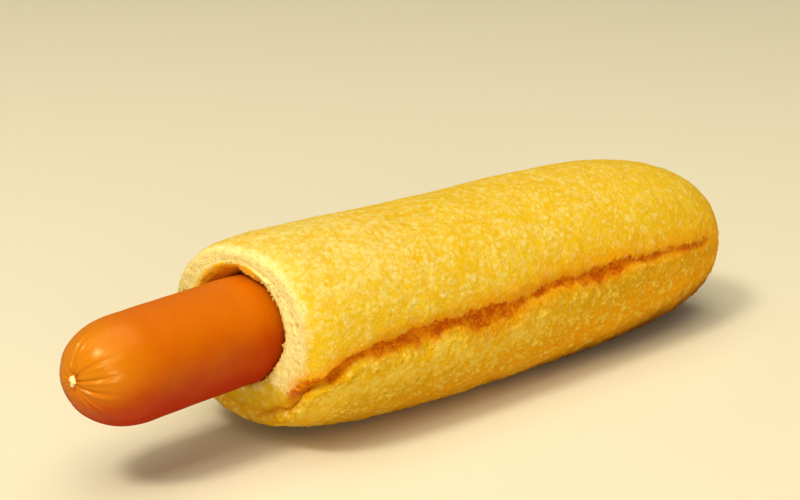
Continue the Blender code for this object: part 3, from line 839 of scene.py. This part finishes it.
def surface_object(name, points, material, closed=True, poles=(False, False), attributes=None):
    """An object from one grid of points or a stack of them, with the values that its finish reads."""
    used, quads, triangles = grid_faces(points.shape, closed, poles)
    corners = np.concatenate([quads.ravel(), triangles.ravel()])
    sizes = np.repeat([4, 3], [len(quads), len(triangles)])
    starts = np.concatenate([[0], np.cumsum(sizes)[:-1]])
    mesh = bpy.data.meshes.new(name)
    mesh.vertices.add(len(used))
    mesh.vertices.foreach_set("co", points.reshape(-1, 3)[used].astype(np.float32).ravel())
    mesh.loops.add(len(corners))
    mesh.loops.foreach_set("vertex_index", corners.astype(np.int32))
    mesh.polygons.add(len(sizes))
    mesh.polygons.foreach_set("loop_start", starts.astype(np.int32))
    for key, values in (attributes or {}).items():
        layer = mesh.attributes.new(key, "FLOAT", "POINT")
        layer.data.foreach_set("value", values.reshape(-1)[used].astype(np.float32))
    mesh.update(calc_edges=True)
    mesh.validate()
    mesh.shade_smooth()
    mesh.materials.append(material)
    obj = bpy.data.objects.new(name, mesh)
    bpy.context.scene.collection.objects.link(obj)
    return obj


class Nodes:
    """Adds shader nodes to one material. An input takes a number, a colour or another node's output."""

    def __init__(self, name):
        self.material = bpy.data.materials.new(name)
        self.material.use_nodes = True
        self.tree = self.material.node_tree
        self.shader = self.tree.nodes["Principled BSDF"]
        self.shader.inputs["Metallic"].default_value = 0.0

    def feed(self, socket, value):
        if isinstance(value, bpy.types.NodeSocket):
            self.tree.links.new(value, socket)
        elif hasattr(value, "__len__") and len(value) == 3 and len(socket.default_value) == 4:
            socket.default_value = (*value, 1.0)
        else:
            socket.default_value = value

    def add(self, kind, inputs, output=0, **settings):
        node = self.tree.nodes.new(kind)
        for key, value in settings.items():
            setattr(node, key, value)
        for key, value in inputs.items():
            self.feed(node.inputs[key], value)
        return node.outputs[output]

    def math(self, operation, *values):
        return self.add("ShaderNodeMath", dict(enumerate(values)), operation=operation)

    def times(self, *values):
        return functools.reduce(lambda a, b: self.math("MULTIPLY", a, b), values)

    def plus(self, *values):
        return functools.reduce(lambda a, b: self.math("ADD", a, b), values)

    def attribute(self, name, strength=1.0):
        """The surface's own value of this name, times a strength."""
        value = self.add("ShaderNodeAttribute", {}, "Fac", attribute_name=name)
        return value if strength == 1.0 else self.times(value, strength)

    def step(self, value, low, high, bottom=0.0, top=1.0):
        """A smooth step from bottom to top as the value goes from low to high."""
        inputs = {"Value": value, "From Min": low, "From Max": high, "To Min": bottom, "To Max": top}
        return self.add("ShaderNodeMapRange", inputs, interpolation_type="SMOOTHSTEP")

    def mix(self, factor, first, second):
        inputs = {0: factor, 6: first, 7: second}
        return self.add("ShaderNodeMix", inputs, 2, data_type="RGBA")

    def layers(self, colour, *layers):
        """Colours laid over the first one, each by its own share."""
        for share, other in layers:
            colour = self.mix(share, colour, other)
        return colour

    def millimetres(self):
        """The object's own coordinates in millimetres."""
        place = self.add("ShaderNodeTexCoord", {}, "Object")
        return self.add("ShaderNodeMapping", {"Vector": place, "Scale": (1000.0, 1000.0, 1000.0)})

    def vector(self, operation, *inputs, scale=None, output=0):
        values = dict(enumerate(inputs))
        if scale is not None:
            values[3] = scale
        return self.add("ShaderNodeVectorMath", values, output, operation=operation)

    def drawn_out(self):
        """The same coordinates, cut down along the way the dough was drawn."""
        place, way = self.millimetres(), tuple(DOUGH_WAY)
        share = self.times(self.vector("DOT_PRODUCT", place, way, output=1), DOUGH_DRAW)
        return self.vector("SUBTRACT", place, self.vector("SCALE", way, scale=share))

    def ruffled(self, place, scale, reach):
        """The same coordinates, each pushed its own way by up to about half the reach."""
        push = self.add("ShaderNodeTexNoise", {"Vector": place, "Scale": scale, "Detail": 2.0}, "Color")
        return self.vector("MULTIPLY_ADD", push, (reach, reach, reach), place)

    def noise(self, place, scale, detail=3.0, roughness=0.6):
        inputs = {"Vector": place, "Scale": scale, "Detail": detail, "Roughness": roughness}
        return self.add("ShaderNodeTexNoise", inputs)

    def uneven(self, place, scale, strength, roughness=0.6):
        """Noise about zero, times a strength."""
        return self.times(self.plus(self.noise(place, scale, roughness=roughness), -0.5), strength)

    def blots(self, place, scale, low, high, bottom=0.0, top=1.0, **kind):
        """Soft patches: a smooth step through noise."""
        return self.step(self.noise(place, scale, **kind), low, high, bottom, top)

    def dots(self, place, scale, low, high, top=1.0):
        """Round spots: a smooth step through the distance from the nearest of scattered points."""
        cells = self.add("ShaderNodeTexVoronoi", {"Vector": place, "Scale": scale}, "Distance")
        return self.step(cells, low, high, 0.0, top)

    def bump(self, height, distance, strength):
        inputs = {"Height": height, "Distance": distance, "Strength": strength}
        return self.add("ShaderNodeBump", inputs)

    def finish(self, colour, roughness, normal=None, **constants):
        """Feeds the shader; the constants are set on its sockets."""
        self.feed(self.shader.inputs["Base Color"], colour)
        self.feed(self.shader.inputs["Roughness"], roughness)
        if normal is not None:
            self.feed(self.shader.inputs["Normal"], normal)
        for key, value in constants.items():
            self.shader.inputs[key.replace("_", " ")].default_value = value
        return self.material


def crust_grains(nodes):
    """Pale round grains of three sizes, in clusters."""
    place = nodes.ruffled(nodes.drawn_out(), 1.1, 0.5)
    crowd = nodes.blots(place, 0.45, 0.34, 0.60, 0.3, detail=1.0, roughness=0.5)
    return nodes.plus(nodes.times(nodes.dots(place, 0.48, 0.52, 0.16), crowd, 0.40),
                      nodes.dots(place, 0.85, 0.60, 0.18, 0.32),
                      nodes.dots(place, 1.5, 0.60, 0.14, 0.16), nodes.attribute("grain", 0.25))


def crust_paleness(nodes, x, z):
    """How far the crust turns to the grains' colour: calmer towards the back, more at the front's crown."""
    lower = nodes.attribute("lower")
    calm = nodes.step(x, 30.0, 115.0, 1.0, 0.55)
    crown = nodes.step(z, 26.0, 44.0)
    front = nodes.times(nodes.step(x, -5.0, -32.0), crown)
    grains = nodes.plus(crust_grains(nodes), nodes.uneven(nodes.drawn_out(), 0.8, 0.8))
    cloud = nodes.uneven(nodes.millimetres(), 0.33, 1.0)
    amount = nodes.plus(nodes.times(grains, nodes.plus(calm, nodes.times(lower, 0.7))),
                        nodes.times(cloud, nodes.plus(nodes.times(lower, 1.8), 1.2)),
                        nodes.times(crown, 0.10), nodes.times(front, 0.20), nodes.times(lower, -0.15),
                        nodes.attribute("puffy", 0.5))
    return nodes.step(amount, 0.0, 1.05, 0.0, 0.9)


def crust_colour(nodes, colours):
    """Gold with soft pale grains and deeper patches. Low down, and higher towards the closed end, it turns
    oranger, partly real browning and partly painted warm reflected light, and darkest at the bottom, partly
    painted contact shade.
    """
    place = nodes.millimetres()
    x, z = (nodes.add("ShaderNodeSeparateXYZ", {0: place}, axis) for axis in (0, 2))
    # Height, tilted to climb towards the closed end: it sets the oranger colour low down, partly painted
    # warm reflected light, and the dark bottom, partly painted contact shade.
    sunk = nodes.plus(z, nodes.times(x, UNDERSIDE_TINT_SLOPE), nodes.times(nodes.noise(place, 0.25), 6.0))
    under = nodes.step(sunk, 28.0, 6.0, top=0.9)
    # Below the seam and low down the grains take the lower grains' colour, partly painted warm reflected
    # light.
    turned = nodes.math("MAXIMUM", under, nodes.attribute("lower", 0.75))
    pale = nodes.mix(turned, colours.pale, colours.low_pale)
    return nodes.layers(
        colours.gold,
        (nodes.blots(place, 0.24, 0.40, 0.72, top=0.5, detail=2.0, roughness=0.5), colours.deep),
        (nodes.blots(place, 0.07, 0.38, 0.68, top=0.3, detail=2.0, roughness=0.5), colours.deep),
        (under, colours.low),
        (nodes.attribute("puffy", 0.8), colours.puff),
        (crust_paleness(nodes, x, z), pale),
        (nodes.dots(place, 0.42, 0.16, 0.06, 0.35), colours.low),
        # The bottom turns dark: partly the baked underside, partly painted contact shade.
        (nodes.step(sunk, 7.0, -3.0, top=0.92), colours.base),
    )


def crumb_colour(nodes, colours):
    """Pale crumb with soft tan pores and a few dark ones, turning orange where the frankfurter touches it:
    partly real staining, partly painted light reflected from the frankfurter.
    """
    place = nodes.ruffled(nodes.millimetres(), 1.5, 0.6)
    crowd = nodes.blots(place, 0.5, 0.38, 0.60, detail=2.0, roughness=0.5)
    dark = nodes.times(nodes.dots(place, 1.1, 0.24, 0.10), crowd)
    rare = nodes.dots(place, 0.5, 0.18, 0.09)
    bore = nodes.attribute("bore")
    return nodes.layers(
        colours.crumb,
        (nodes.blots(place, 0.8, 0.40, 0.70, top=0.12), colours.gold),
        (nodes.times(nodes.dots(place, 1.0, 0.52, 0.10), crowd, 0.45), colours.gold),
        (nodes.times(nodes.math("MAXIMUM", dark, rare), 0.45), colours.pores),
        # Down the bore the crumb turns gold, then orange: partly real staining, partly painted light
        # reflected from the frankfurter.
        (nodes.step(bore, 0.08, 0.20, top=0.95), colours.puff),
        (nodes.step(bore, 0.30, 0.55), colours.stain_and_reflected_light),
    )


def toast_colour(nodes, colours):
    """The torn band: orange crumb with scorched patches and thin strands between them."""
    place = nodes.millimetres()
    flat = nodes.add("ShaderNodeCombineXYZ", {"X": nodes.attribute("seam_run"),
                                              "Y": nodes.attribute("seam_gap", 0.8)})
    strands = nodes.times(nodes.noise(flat, 1.1), 0.35)
    dark = nodes.plus(strands, nodes.times(nodes.noise(place, 0.30), 0.65))
    return nodes.layers(
        colours.toast,
        (nodes.blots(place, 0.6, 0.52, 0.68, top=0.4, detail=2.0), colours.halo),
        (nodes.step(dark, 0.42, 0.58, top=0.9), colours.scorch),
    )


def bread_finish(colours):
    """Crust, crumb and toasted tear in one finish, told apart by the surface's own values."""
    nodes = Nodes("baked_bread")
    place = nodes.millimetres()
    rind = nodes.attribute("rind")
    beside = nodes.times(nodes.attribute("halo"), nodes.blots(place, 0.5, 0.30, 0.62, 0.6))
    toasted = nodes.plus(nodes.attribute("toast"), nodes.uneven(place, 1.0, 0.6))
    colour = nodes.layers(
        crumb_colour(nodes, colours),
        (rind, crust_colour(nodes, colours)),
        # Painted shade: the pinholes, pores and inward lip bits are darkened.
        (nodes.attribute("pits", 0.6), colours.pores),
        (beside, colours.halo),
        # Painted shade: the toasted-edge colour darkens the thin fold's line.
        (nodes.attribute("fold", 0.9), colours.halo),
        (nodes.step(toasted, 0.10, 0.95), toast_colour(nodes, colours)),
    )
    fine = nodes.noise(place, 1.9, 4.0, 0.7)
    relief = nodes.plus(nodes.times(crust_grains(nodes), rind, 0.6), nodes.times(fine, 2.3))
    coarse = nodes.plus(nodes.attribute("lower", COARSE_BELOW), 1.0)
    height = nodes.bump(nodes.times(relief, coarse), 0.00018, 0.9)
    return nodes.finish(colour, nodes.step(fine, 0.3, 0.7, 0.75, 0.95), height, Specular_IOR_Level=0.08,
                        Specular_Tint=WARM_GLOSS)


def skin_finish(colours):
    """Smooth cooked skin, orange, mottled, with a satin gloss. It is redder and darker below, which is
    painted shade, and its tip's upper side is paler, a painted highlight.
    """
    nodes = Nodes("cooked_skin")
    place = nodes.millimetres()
    height = nodes.attribute("low")
    fine = nodes.noise(place, 2.0, 4.0, 0.7)
    upper = nodes.step(height, 0.2, 0.6, 1.0, 0.0)
    lower = nodes.plus(height, nodes.uneven(place, 0.12, 0.5, 0.5))
    colour = nodes.layers(
        colours.skin,
        # Painted shade: redder and darker towards the underside.
        (nodes.step(lower, 0.16, 0.82), colours.skin_shade_and_mottle),
        # Painted highlight: the tip's upper side turns paler.
        (nodes.times(nodes.attribute("tip"), upper), colours.skin_tip_painted_light),
        (nodes.step(fine, 0.5, 0.8, 0.0, 0.3), colours.skin_shade_and_mottle),
    )
    grazing = nodes.add("ShaderNodeLayerWeight", {"Blend": 0.5}, "Facing")
    roughness = nodes.plus(nodes.attribute("tip", -0.06), nodes.blots(place, 0.5, 0.3, 0.7, 0.25, 0.31),
                           nodes.step(height, 0.45, 0.8, top=0.35), nodes.step(grazing, 0.45, 0.9, top=0.5))
    return nodes.finish(colour, roughness, nodes.bump(fine, 0.00002, 0.8), Specular_IOR_Level=0.15,
                        Specular_Tint=SKIN_GLOSS)


def knot_finish(colours):
    """Dry gathered casing: cream with a tan mottle, and one pit darkened as painted shade."""
    nodes = Nodes("dry_casing")
    blots = nodes.blots(nodes.millimetres(), 1.3, 0.42, 0.75)
    colour = nodes.layers(
        colours.knot,
        (nodes.times(blots, 0.35), colours.skin),
        (nodes.attribute("skirt"), colours.skin),
        # Painted shade: the pit is darkened.
        (nodes.attribute("pit"), colours.base),
    )
    return nodes.finish(colour, 0.45, nodes.bump(blots, 0.00006, 0.5), Specular_IOR_Level=0.3)


def crumbs_finish(colours):
    """Loose toasted bits: from pale gold to orange, each by its own draw."""
    nodes = Nodes("toasted_crumbs")
    fine = nodes.noise(nodes.millimetres(), 2.5)
    colour = nodes.layers(
        colours.pale,
        (nodes.attribute("tone"), colours.toast),
        (nodes.step(fine, 0.4, 0.7, 0.0, 0.4), colours.deep),
    )
    return nodes.finish(colour, 0.9, nodes.bump(fine, 0.0001, 0.6), Specular_IOR_Level=0.05)


def floor_finish(colours):
    """A plain pale floor with the faintest unevenness."""
    nodes = Nodes("pale_floor")
    place = nodes.add("ShaderNodeTexCoord", {}, "Object")
    soft = tuple(0.985 * part for part in colours.floor)
    return nodes.finish(nodes.mix(nodes.noise(place, 3.0, 2.0, 0.5), colours.floor, soft), 0.75)


def dress(obj, slot, *nodes_replaced):
    """Lets the piece ride on the one body and hides the imported parts that it stands for. The slot is not
    used.
    """
    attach(obj, "root")
    if nodes_replaced:
        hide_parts(*nodes_replaced)


class HOTDOG_OT_roll(bpy.types.Operator):
    """Makes the crust above the seam, the crust below it and the crumb of the cut end"""

    bl_idname = "hot_dog.roll"
    bl_label = "Roll"

    def execute(self, context):
        points, values, grid, _ = roll_surface()
        split = grid.split
        material = bread_finish(context.scene.hot_dog_colours)
        half = ROLL_COLUMNS // 2
        upper = np.arange(half + 1)
        lower = np.arange(half, ROLL_COLUMNS + 1) % ROLL_COLUMNS
        for name, columns in (("crust_upper", upper), ("crust_under", lower)):
            part = points[: split + 1, columns]
            part_values = {key: value[: split + 1, columns] for key, value in values.items()}
            dress(surface_object(name, part, material, False, (True, False), part_values), "bread", "bun")
        end_values = {key: value[split:] for key, value in values.items()}
        end = surface_object("crumb_end", points[split:], material, True, (False, True), end_values)
        dress(end, "bread", "bun")
        return {"FINISHED"}


def knot_offset(radius, knot_radius):
    """How far the skin stands forward near the pole: a knot in a shallow dimple."""
    knot = KNOT_RISE * (1 - ease(radius / knot_radius))
    dimple = KNOT_RISE * bell(radius, 1.5 * knot_radius, 0.6 * knot_radius)
    return knot - 0.6 * dimple


def sausage_axis(places, x):
    """The axis' height: level in the roll, drooping towards the tip, whose end turns up."""
    out = np.clip((places.cut_x - x) / places.sausage.reach, 0, 1)
    in_tip = np.clip((places.tip_x + TIP_LENGTH - x) / TIP_LENGTH, 0, 1)
    return places.sausage.height - SAUSAGE_DROOP * out**DROOP_POWER + TIP_UPTURN * in_tip**1.5


def angle_gap(angles, middle):
    """The angle from the middle, between minus and plus half a turn."""
    return (angles - middle + math.pi) % (2 * math.pi) - math.pi


def fold_line_up(radius_mm, angles, middle, bend, reach, width):
    """A bell across one fold, which starts at the knot, bends a little and fades towards its reach."""
    centre = middle + bend * ease(radius_mm / 12)
    across = angle_gap(angles[None], centre) * radius_mm
    window = ease(radius_mm / 1.5) * (1 - ease((radius_mm - 0.7 * reach) / (0.5 * reach)))
    return window * np.exp(-((across / (width * (0.6 + 0.4 * radius_mm / reach))) ** 2))


def folds(places, radius, angles):
    """Creases and ridges that fan out from the knot: the strong ones, then fine ones between them."""
    radius_mm = radius[:, None] / MM
    total = np.zeros((len(radius), len(angles)))
    for middle, reach, height, width, bend in STRONG_FOLDS:
        total += height * fold_line_up(radius_mm, angles, math.radians(middle), bend, reach, width)
    draw = np.random.default_rng(71)
    count = places.sausage.fold_count
    for number in range(count):
        middle = (number + draw.uniform(-0.35, 0.35)) * 2 * math.pi / count
        height = draw.uniform(0.15, 0.45) * draw.choice([1, -1])
        reach, width, bend = draw.uniform(3.5, 9.0), draw.uniform(0.16, 0.34), draw.uniform(-0.2, 0.2)
        total += height * fold_line_up(radius_mm, angles, middle, bend, reach, width)
    return places.sausage.fold_depth * total


def sausage_rows(places):
    """Each row's distance from the tip and its radius: the tip, the straight body and the buried end."""
    distance, radius = tip_curve(places)
    tip_run = np.concatenate([[0], np.cumsum(np.hypot(np.diff(distance), np.diff(radius)))])
    body = np.linspace(0, places.sausage_end_x - places.tip_x - 2 * TIP_LENGTH, FINE)[1:]
    rows = graded(np.concatenate([tip_run, tip_run[-1] + body]) / MM, SAUSAGE_STEPS)
    far = take(np.concatenate([distance, TIP_LENGTH + body]), rows)
    girth = take(np.concatenate([radius, np.full(len(body), places.radius)]), rows)
    end_radius = places.radius * np.linspace(1, 0, 14)[1:] ** 0.7
    end_far = places.sausage_end_x - places.tip_x - np.interp(end_radius, radius, distance)
    return np.concatenate([far, end_far]), np.concatenate([girth, end_radius])


class HOTDOG_OT_sausage(bpy.types.Operator):
    """Makes the frankfurter with the creases that gather at its tip"""

    bl_idname = "hot_dog.sausage"
    bl_label = "Frankfurter"

    def execute(self, context):
        places = current_places()
        far, girth = sausage_rows(places)
        angles = np.arange(SAUSAGE_COLUMNS) / SAUSAGE_COLUMNS * 2 * math.pi
        in_tip = far < TIP_LENGTH
        x = places.tip_x + far - knot_offset(girth, places.sausage.knot_radius) * in_tip
        points = Profile(x, sausage_axis(places, x), girth, girth, 2).points(angles)[::-1]
        relief = folds(places, girth, angles)[::-1] * in_tip[::-1, None]
        relief = relief + SKIN_SWELL * waves(points, 5 * MM, 16 * MM, 16, 72)
        relief[[0, -1]] = 0
        points = points + grid_normals(points) * relief[..., None]
        tip = (1 - ease(far / TIP_LENGTH))[::-1, None]
        # 1 below and 0 on top, less on the tip: the finish reddens and darkens by it, as painted shade.
        low = 0.5 - 0.5 * np.sin(angles) * (girth / places.radius)[::-1, None] - TIP_PALER * tip
        values = {"low": low, "tip": tip + 0 * low}
        material = skin_finish(context.scene.hot_dog_colours)
        obj = surface_object("sausage_skin", points, material, True, (True, True), values)
        dress(obj, "sausage_skin", "sausage")
        return {"FINISHED"}


class HOTDOG_OT_knot(bpy.types.Operator):
    """Makes the dry knot of casing at the frankfurter's tip"""

    bl_idname = "hot_dog.knot"
    bl_label = "Knot"

    def execute(self, context):
        places = current_places()
        rise = np.linspace(math.pi / 2, -math.pi / 2, 22)[:, None]
        turn = np.arange(56) / 56 * 2 * math.pi
        pleats = 1 + 0.10 * np.cos(5 * turn + 0.6) + 0.07 * np.cos(8 * turn + 2.0)
        girth = np.cos(rise) ** 0.8 * (1 + (pleats - 1) * np.cos(rise) ** 2)
        along = KNOT_SIZE[0] * girth * np.cos(turn)
        across = KNOT_SIZE[1] * girth * np.sin(turn)
        from_pit = np.hypot(along - KNOT_PIT[0], across - KNOT_PIT[1]) / KNOT_PIT_RADIUS
        pit = bell(from_pit, 0, 1) * (rise > 0)
        front = KNOT_SIZE[2] * np.sin(rise) * (1 + 0.2 * np.cos(3 * turn) * np.cos(rise))
        front = front - KNOT_PIT_DEPTH * pit
        lean, tip_height = math.radians(KNOT_TURN), sausage_axis(places, places.tip_x)
        y = along * math.cos(lean) - across * math.sin(lean) + KNOT_SHIFT[0]
        z = along * math.sin(lean) + across * math.cos(lean) + tip_height + KNOT_SHIFT[1]
        points = np.stack([places.tip_x + KNOT_SUNK - front, y, z], axis=-1)
        skirt = 1 - ease(np.sin(rise) * 2.5 + 0.4) + 0 * turn
        material = knot_finish(context.scene.hot_dog_colours)
        values = {"pit": pit[::-1], "skirt": skirt[::-1]}
        obj = surface_object("casing_knot", points[::-1], material, True, (True, True), values)
        dress(obj, "sausage_skin", "sausage")
        return {"FINISHED"}


class HOTDOG_OT_crumbs(bpy.types.Operator):
    """Scatters small torn bits along the seam and round the lip"""

    bl_idname = "hot_dog.crumbs"
    bl_label = "Torn crumbs"

    def execute(self, context):
        points, _, grid, edge = roll_surface()
        draw = np.random.default_rng(81)
        on_side = grid.outside & (grid.seam.behind > 3)
        on_lip = ~grid.outside & (np.abs(grid.past_lip - 0.9) < 0.5) & (grid.points[..., 1] < 0)
        chosen = [
            pick(points, on_side & (np.abs(edge - 0.1) < 0.5) & (grid.seam.gap > -0.4), EDGE_CRUMBS, draw),
            pick(points, on_side & (edge < -0.2), TEAR_CRUMBS, draw),
            pick(points, on_lip, LIP_CRUMBS, draw),
        ]
        tones = np.concatenate([draw.uniform(0.6, 0.95, EDGE_CRUMBS), draw.uniform(0.85, 1.0, TEAR_CRUMBS),
                                draw.uniform(0.0, 0.25, LIP_CRUMBS)])
        centres = points.reshape(-1, 3)[np.concatenate(chosen)]
        bits = crumb_bits(len(centres), draw)
        tone = np.broadcast_to(tones[:, None, None], bits.shape[:3])
        material = crumbs_finish(context.scene.hot_dog_colours)
        stack = centres[:, None, None] + bits
        obj = surface_object("torn_crumbs", stack, material, True, (True, True), {"tone": tone})
        dress(obj, "bread", "bun")
        return {"FINISHED"}


def pick(points, where, count, draw):
    """Random grid places, each as likely as the area it stands for."""
    steps = np.cross(np.gradient(points, axis=0), np.roll(points, -1, axis=1) - points)
    weight = (np.linalg.norm(steps, axis=2) * where).ravel()
    return draw.choice(len(weight), count, replace=False, p=weight / weight.sum())


def crumb_bits(count, draw):
    """Small lumpy balls: radius times 1 + 0.25 cos(2 turn + phase) cos(rise), each scaled its own way."""
    rise = np.linspace(-math.pi / 2, math.pi / 2, 6)[None, :, None]
    turn = (np.arange(7) / 7 * 2 * math.pi)[None, None]
    phase = draw.uniform(0, 2 * math.pi, (count, 1, 1))
    swell = 1 + 0.25 * np.cos(2 * turn + phase) * np.cos(rise) + 0.2 * np.sin(2 * rise + phase)
    ball = np.stack([np.cos(rise) * np.cos(turn) * swell, np.cos(rise) * np.sin(turn) * swell,
                     np.sin(rise) * swell], axis=-1)
    scale = draw.uniform(*CRUMB_RADII, (count, 1, 1, 1)) * draw.uniform(0.7, 1.3, (count, 1, 1, 3))
    return ball * scale


class HOTDOG_OT_stage(bpy.types.Operator):
    """Makes the floor, the lights and the camera"""

    bl_idname = "hot_dog.stage"
    bl_label = "Stage"

    def execute(self, context):
        scene = context.scene
        sizes = scene.hot_dog_stage
        colour = tuple(sizes.light_colour)
        ground = min(corner[2] for corner in CAD_BOX)
        line = np.linspace(-sizes.floor_size / 2, sizes.floor_size / 2, 9)
        x, y = np.meshgrid(line, line)
        points = np.stack([y, x, np.full_like(x, ground)], axis=-1)
        floor = surface_object("floor", points, floor_finish(scene.hot_dog_colours), closed=False)
        for name, direction, distance, size in LIGHTS:
            area_light(name, direction, distance, size, getattr(sizes, name + "_power"), colour)
        room_light(scene, colour, sizes.air)
        place_camera(scene, sizes)
        scene.view_settings.view_transform = "Standard"
        return {"FINISHED"}


def room_light(scene, colour, strength):
    """An even light from all round."""
    scene.world = bpy.data.worlds.new("room")
    scene.world.use_nodes = True
    background = scene.world.node_tree.nodes["Background"]
    background.inputs["Color"].default_value = (*colour, 1.0)
    background.inputs["Strength"].default_value = strength


def place_camera(scene, sizes):
    """A camera that looks at the roll from its azimuth, elevation and distance."""
    camera = bpy.data.objects.new("camera", bpy.data.cameras.new("camera"))
    camera.data.lens = sizes.lens
    camera.data.sensor_width = 36.0
    turn, lift = sizes.azimuth, sizes.elevation
    back = Vector((math.sin(turn) * math.cos(lift), -math.cos(turn) * math.cos(lift), math.sin(lift)))
    camera.location = Vector(LOOKED_AT) + back * sizes.distance
    camera.rotation_euler = (-back).to_track_quat("-Z", "Y").to_euler()
    scene.collection.objects.link(camera)
    scene.camera = camera


def area_light(name, direction, distance, size, power, colour):
    """A square light that looks at the object from a direction."""
    direction = Vector(direction).normalized()
    light = bpy.data.objects.new(name, bpy.data.lights.new(name, "AREA"))
    light.data.size = size
    light.data.energy = power
    light.data.color = colour
    light.location = direction * distance
    light.rotation_euler = (-direction).to_track_quat("-Z", "Y").to_euler()
    bpy.context.scene.collection.objects.link(light)


class HOTDOG_PT_panel(bpy.types.Panel):
    """Lists what the add-on makes"""

    bl_label = "French Hot Dog"
    bl_idname = "HOTDOG_PT_panel"
    bl_space_type = "VIEW_3D"
    bl_region_type = "UI"
    bl_category = "Hot Dog"

    def draw(self, context):
        for group in GROUPS:
            settings = getattr(context.scene, GROUPS[group])
            box = self.layout.box()
            for name in group.__annotations__:
                box.prop(settings, name)
        for operator in OPERATORS:
            self.layout.operator(operator.bl_idname)


GROUPS = {
    RollSizes: "hot_dog_roll",
    SausageSizes: "hot_dog_sausage",
    Colours: "hot_dog_colours",
    StageSizes: "hot_dog_stage",
}
OPERATORS = (HOTDOG_OT_roll, HOTDOG_OT_crumbs, HOTDOG_OT_sausage, HOTDOG_OT_knot, HOTDOG_OT_stage)


def register():
    for group, name in GROUPS.items():
        bpy.utils.register_class(group)
        setattr(bpy.types.Scene, name, PointerProperty(type=group))
    for item in (*OPERATORS, HOTDOG_PT_panel):
        bpy.utils.register_class(item)


def unregister():
    for item in (HOTDOG_PT_panel, *reversed(OPERATORS)):
        bpy.utils.unregister_class(item)
    for group, name in GROUPS.items():
        delattr(bpy.types.Scene, name)
        bpy.utils.unregister_class(group)


def main():
    register()
    bpy.ops.hot_dog.roll()
    bpy.ops.hot_dog.crumbs()
    bpy.ops.hot_dog.sausage()
    bpy.ops.hot_dog.knot()
    bpy.ops.hot_dog.stage()


if __name__ == "__main__":
    main()
